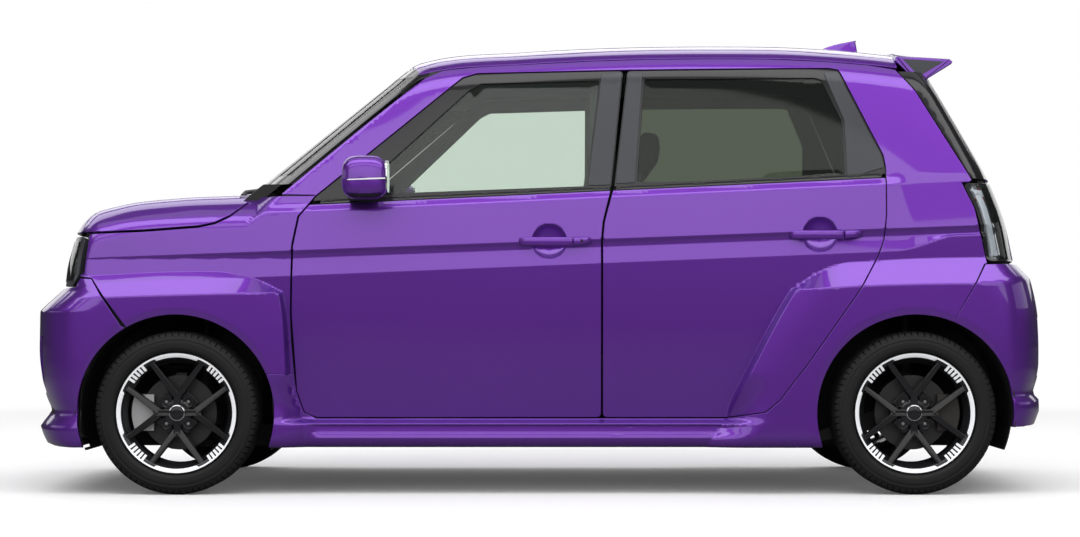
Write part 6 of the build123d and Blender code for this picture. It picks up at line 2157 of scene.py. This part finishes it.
@dataclass
class Seats:
    """Front seats and rear bench as padded pieces on their frames."""

    middle: float = -340.0
    half: float = 222.0
    bench_half: float = 520.0
    cap: float = 22.0
    bench_voxel: float = 9.0
    fill: float = 0.75

    def front(self) -> None:
        """Two front seats: cushion, back, head rest, base and posts."""
        middle, half = self.middle, self.half
        plan = (
            ("front_cushion", slab((-318, middle - half, 452), (150, middle + half, 548), -3.0, (0, 500))),
            ("front_back", slab((128, middle - half + 6, 520), (220, middle + half - 6, 1092), 22.5,
                                (160, 520))),
            ("front_headrest", slab((352, middle - 122, 1124), (418, middle + 122, 1262), 10.0, (385, 1190))),
        )
        for name, block in plan:
            soft = cushioned(name, block, cap=self.cap)
            for side in SIDES:
                shape = soft if side == "left" else soft.mirrored()
                stands = ("seats_front",) if name == "front_cushion" else ()
                piece = Piece(f"{name}_{side}", shape, "body", SEAT_CLOTH, "seat_cloth", stands, levels=1)
                piece.show()
        rails = box((-270, middle - 190, 226), (180, middle + 190, 424))
        pair("front_seat_base", rails, "body", CABIN, "cabin_plastic", bevel=12.0)
        posts = joined([tube([(362, middle + y, 1080), (378, middle + y, 1150)], 6.0) for y in (-60, 60)])
        pair("front_headrest_posts", posts, "body", CHROME, "chassis_steel")

    def rear(self) -> None:
        """Rear bench: cushion, back, head rests and base."""
        half = self.bench_half
        bench = (("rear_cushion", slab((708, -half, 448), (1070, half, 540), -3.0, (880, 500))),
                 ("rear_back", slab((1060, -half, 520), (1140, half, 1052), 21.0, (1080, 520))))
        for name, block in bench:
            stands = ("seat_rear",) if name == "rear_cushion" else ()
            soft = cushioned(name, block, cap=self.cap, voxel=self.bench_voxel)
            piece = Piece(name, soft, "body", SEAT_CLOTH, "seat_cloth", stands, levels=1)
            piece.show()
        rest = slab((1218, -370, 1072), (1270, -190, 1188), 12.0, (1240, 1130))
        pair("rear_headrest", rest, "body", SEAT_CLOTH, "seat_cloth", levels=1)
        Piece("rear_bench_base", box((742, -500, 226), (900, 500, 430)), "body", CABIN, "cabin_plastic",
              bevel=10.0).show()

    def build(self) -> None:
        """Show all the seats."""
        self.front()
        self.rear()


@dataclass
class Cabin:
    """Steering wheel and dashboard details."""

    wheel_radius: float = 172.0
    rim_radius: float = 13.0
    spoke_angles: tuple = (90, 210, 330)
    column_lean: float = 62.0
    wheel_place: tuple[float, float, float] = (-460.0, 340.0, 905.0)

    def steering_wheel(self) -> Sheet:
        """Rim, three spokes, hub and column, in place."""
        turns = np.linspace(0, 2 * math.pi, 64, endpoint=False)
        rim = [(self.wheel_radius * math.cos(a), self.wheel_radius * math.sin(a), 0) for a in turns]
        parts = [tube(rim, self.rim_radius, 14, closed=True)]
        for a in map(math.radians, self.spoke_angles):
            parts.append(tube([(30 * math.cos(a), 30 * math.sin(a), -16),
                               (166 * math.cos(a), 166 * math.sin(a), 0)],
                              11.0, 12))
        parts.append(loft([np.array([(u, v, z) for u, v in rounded_ring((0, 0), (r, r * 0.85), 2.6, 40)])
                           for r, z in ((40, -36), (58, -30), (62, -8), (54, 2), (20, 5))]))
        parts.append(tube([(0, 0, -30), (0, 0, -230)], 26.0, 20))
        return joined(parts).turned(Matrix.Rotation(math.radians(self.column_lean), 4,
                                                    "Y")).moved(*self.wheel_place)

    def build(self) -> None:
        """Show the cabin's details."""
        hood = prism([(-800, 1020), (-680, 1016), (-664, 980), (-700, 960)], 200, 480)
        glass = slab((-372, -110, 1392), (-358, 110, 1450), 12.0, (-365, 1420))
        Piece("steering_wheel_rim", self.steering_wheel(), "body", CABIN, "cabin_plastic",
              ("steering_wheel",),
              crease_deg=50).show()
        Piece("dash_screen", box((-716, -120, 930), (-700, 130, 1062)), "body", BLACK_GLOSS, "cabin_plastic",
              bevel=4.0).show()
        Piece("dash_gauge_hood", hood, "body", CABIN, "cabin_plastic", bevel=8.0).show()
        Piece("inner_mirror", glass, "body", CABIN, "cabin_plastic").show()


# =====================================================================
# Stage
# =====================================================================
@dataclass
class Stage:
    """Floor, lamps, world and camera."""

    lens: float = 79.3
    camera: tuple[float, float, float] = (0.040, -8.87, 0.624)
    shift: tuple[float, float] = (-0.0093, 0.0403)
    floor_lift: float = 0.08
    ambient: float = 0.3
    mirrored: float = 0.03

    def build(self) -> None:
        """Set the stage."""
        self.floor()
        self.world()
        for side, y in (("left", -1.0), ("right", 1.0)):
            self.lamp(f"side_{side}", (0.0, 6.0 * y, 2.13), (0.0, 0.7 * y, 2.13), (13.0, 1.72),
                      1.4 if y < 0 else 1.1)
            self.lamp(f"above_{side}", (0.0, 2.6 * y, 4.2), (0.0, 0.7 * y, 0.8), (12.0, 1.6),
                      2.8 if y < 0 else 1.7)
            self.lamp(f"high_{side}", (0.0, 5.4 * y, 3.9), (0.0, 0.7 * y, 1.2), (12.0, 1.2), 1.8)
        self.lamp("above_middle", (0.0, -0.6, 4.6), (0.0, -0.6, 0.8), (8.0, 1.6), 0.8)
        for end, x in (("front", -1.0), ("rear", 1.0)):
            self.lamp(f"end_{end}", (7.5 * x, 0.0, 1.9), (1.8 * x, 0.0, 1.9), (7.0, 1.1), 0.7)
        data = bpy.data.cameras.new("camera")
        data.lens, data.sensor_width = self.lens, 36.0
        data.shift_x, data.shift_y = self.shift
        camera = bpy.data.objects.new("camera", data)
        camera.location = self.camera
        camera.rotation_euler = (math.radians(90), 0, 0)
        bpy.context.scene.collection.objects.link(camera)
        bpy.context.scene.camera = camera
        bpy.context.scene.view_settings.view_transform = "Standard"

    def floor(self) -> None:
        """Pale floor that keeps the shadow and lights the object little from below."""
        material = bpy.data.materials.new("floor_pale")
        graph = Graph(material)
        path = graph.tree.nodes.new("ShaderNodeLightPath")
        seen = Socket(graph, path.outputs["Is Camera Ray"]).largest(Socket(graph,
                                                                           path.outputs["Is Transmission Ray"]))
        camera = Socket(graph, path.outputs["Is Camera Ray"])
        far = graph.node("ShaderNodeVectorMath", {0: graph.place()}, output=1, operation="LENGTH")
        fade = graph.node("ShaderNodeMapRange", {0: far, 1: 3.2, 2: 8.0, 3: 0.0, 4: 1.0},
                          interpolation_type="SMOOTHSTEP")
        colour = graph.blend(seen, (0.22, 0.22, 0.22), (0.95, 0.95, 0.95))
        diffuse = graph.node("ShaderNodeBsdfDiffuse", {"Color": colour})
        lift = graph.node("ShaderNodeEmission", {"Color": (1, 1, 1, 1), "Strength": camera * self.floor_lift})
        near = graph.node("ShaderNodeAddShader", {0: diffuse, 1: lift})
        white = graph.node("ShaderNodeEmission", {"Color": (1, 1, 1, 1), "Strength": 0.06 + seen * 0.94})
        graph.finish(graph.node("ShaderNodeMixShader", {0: fade, 1: near, 2: white}))
        mesh = bpy.data.meshes.new("floor")
        mesh.from_pydata([(-40, -40, 0), (40, -40, 0), (40, 40, 0), (-40, 40, 0)], [], [(0, 1, 2, 3)])
        mesh.materials.append(material)
        floor = bpy.data.objects.new("floor", mesh)
        bpy.context.scene.collection.objects.link(floor)

    def world(self) -> None:
        """White to the camera and through glass, dim as light and almost dark in reflections."""
        world = bpy.data.worlds.new("studio")
        bpy.context.scene.world = world
        graph = Graph(world)
        path = graph.tree.nodes.new("ShaderNodeLightPath")
        seen = Socket(graph, path.outputs["Is Camera Ray"]).largest(Socket(graph,
                                                                           path.outputs["Is Transmission Ray"]))
        strength = self.ambient + seen * (1.0 - self.ambient)
        strength = strength - Socket(graph, path.outputs["Is Glossy Ray"]) * (self.ambient - self.mirrored)
        background = graph.node("ShaderNodeBackground", {"Color": (1, 1, 1, 1), "Strength": strength})
        output = graph.tree.nodes.new("ShaderNodeOutputWorld")
        graph.tree.links.new(background.output, output.inputs["Surface"])

    def lamp(self, name: str, place: tuple, target: tuple, size: tuple, brightness: float) -> None:
        """A soft rectangular lamp that looks at a point, set by how bright its face is."""
        data = bpy.data.lights.new(name, "AREA")
        data.shape, data.size, data.size_y = "RECTANGLE", size[0], size[1]
        data.energy = brightness * math.pi * size[0] * size[1]
        lamp = bpy.data.objects.new(name, data)
        lamp.location = place
        lamp.rotation_euler = (Vector(target) - Vector(place)).to_track_quat("-Z", "Y").to_euler()
        bpy.context.scene.collection.objects.link(lamp)


NODE_FINISH = {
    "floor_pan": UNDERBODY, "bulkhead": UNDERBODY, "wheel_houses": UNDERBODY, "dashboard": CABIN,
    "steering_wheel": CABIN, "seats_front": SEAT_CLOTH, "seat_rear": SEAT_CLOTH, "drive_unit": CASTING,
    "battery_pack": CASTING, "front_subframe": CHASSIS, "rear_axle": CHASSIS, "dampers": CHASSIS,
               "spoiler": PAINT,
}


def finish_nodes() -> None:
    """A detailed material on each CAD node that still shows."""
    for name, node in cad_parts.items():
        finish = NODE_FINISH.get(name)
        if finish is None:
            kind = name.split("_")[0]
            finish = {"rim": WHEEL_BLACK, "tyre": TYRE, "disc": DISC, "knuckle": SILVER, "mirror": PAINT}.get(
                kind, DARK_PLASTIC)
        node.data.materials.clear()
        node.data.materials.append(material_of(finish))


def main() -> None:
    finish_nodes()
    for part in (Doors(), SideSkins(), Roof(), Bonnet(), FrontEnd(), RearEnd(), ScreenGlass()):
        part.build()
    inside_parts = Inside()
    inside_parts.structures()
    inside_parts.arch_liners()
    Wheel().build()
    Mirrors().build()
    Handles().build()
    trim, wipers = Trim(), Wipers()
    trim.fin()
    Spoiler().build()
    wipers.build()
    trim.plates()
    wipers.build_rear()
    Seats().build()
    Cabin().build()
    Stage().build()


if __name__ == "__main__":
    main()
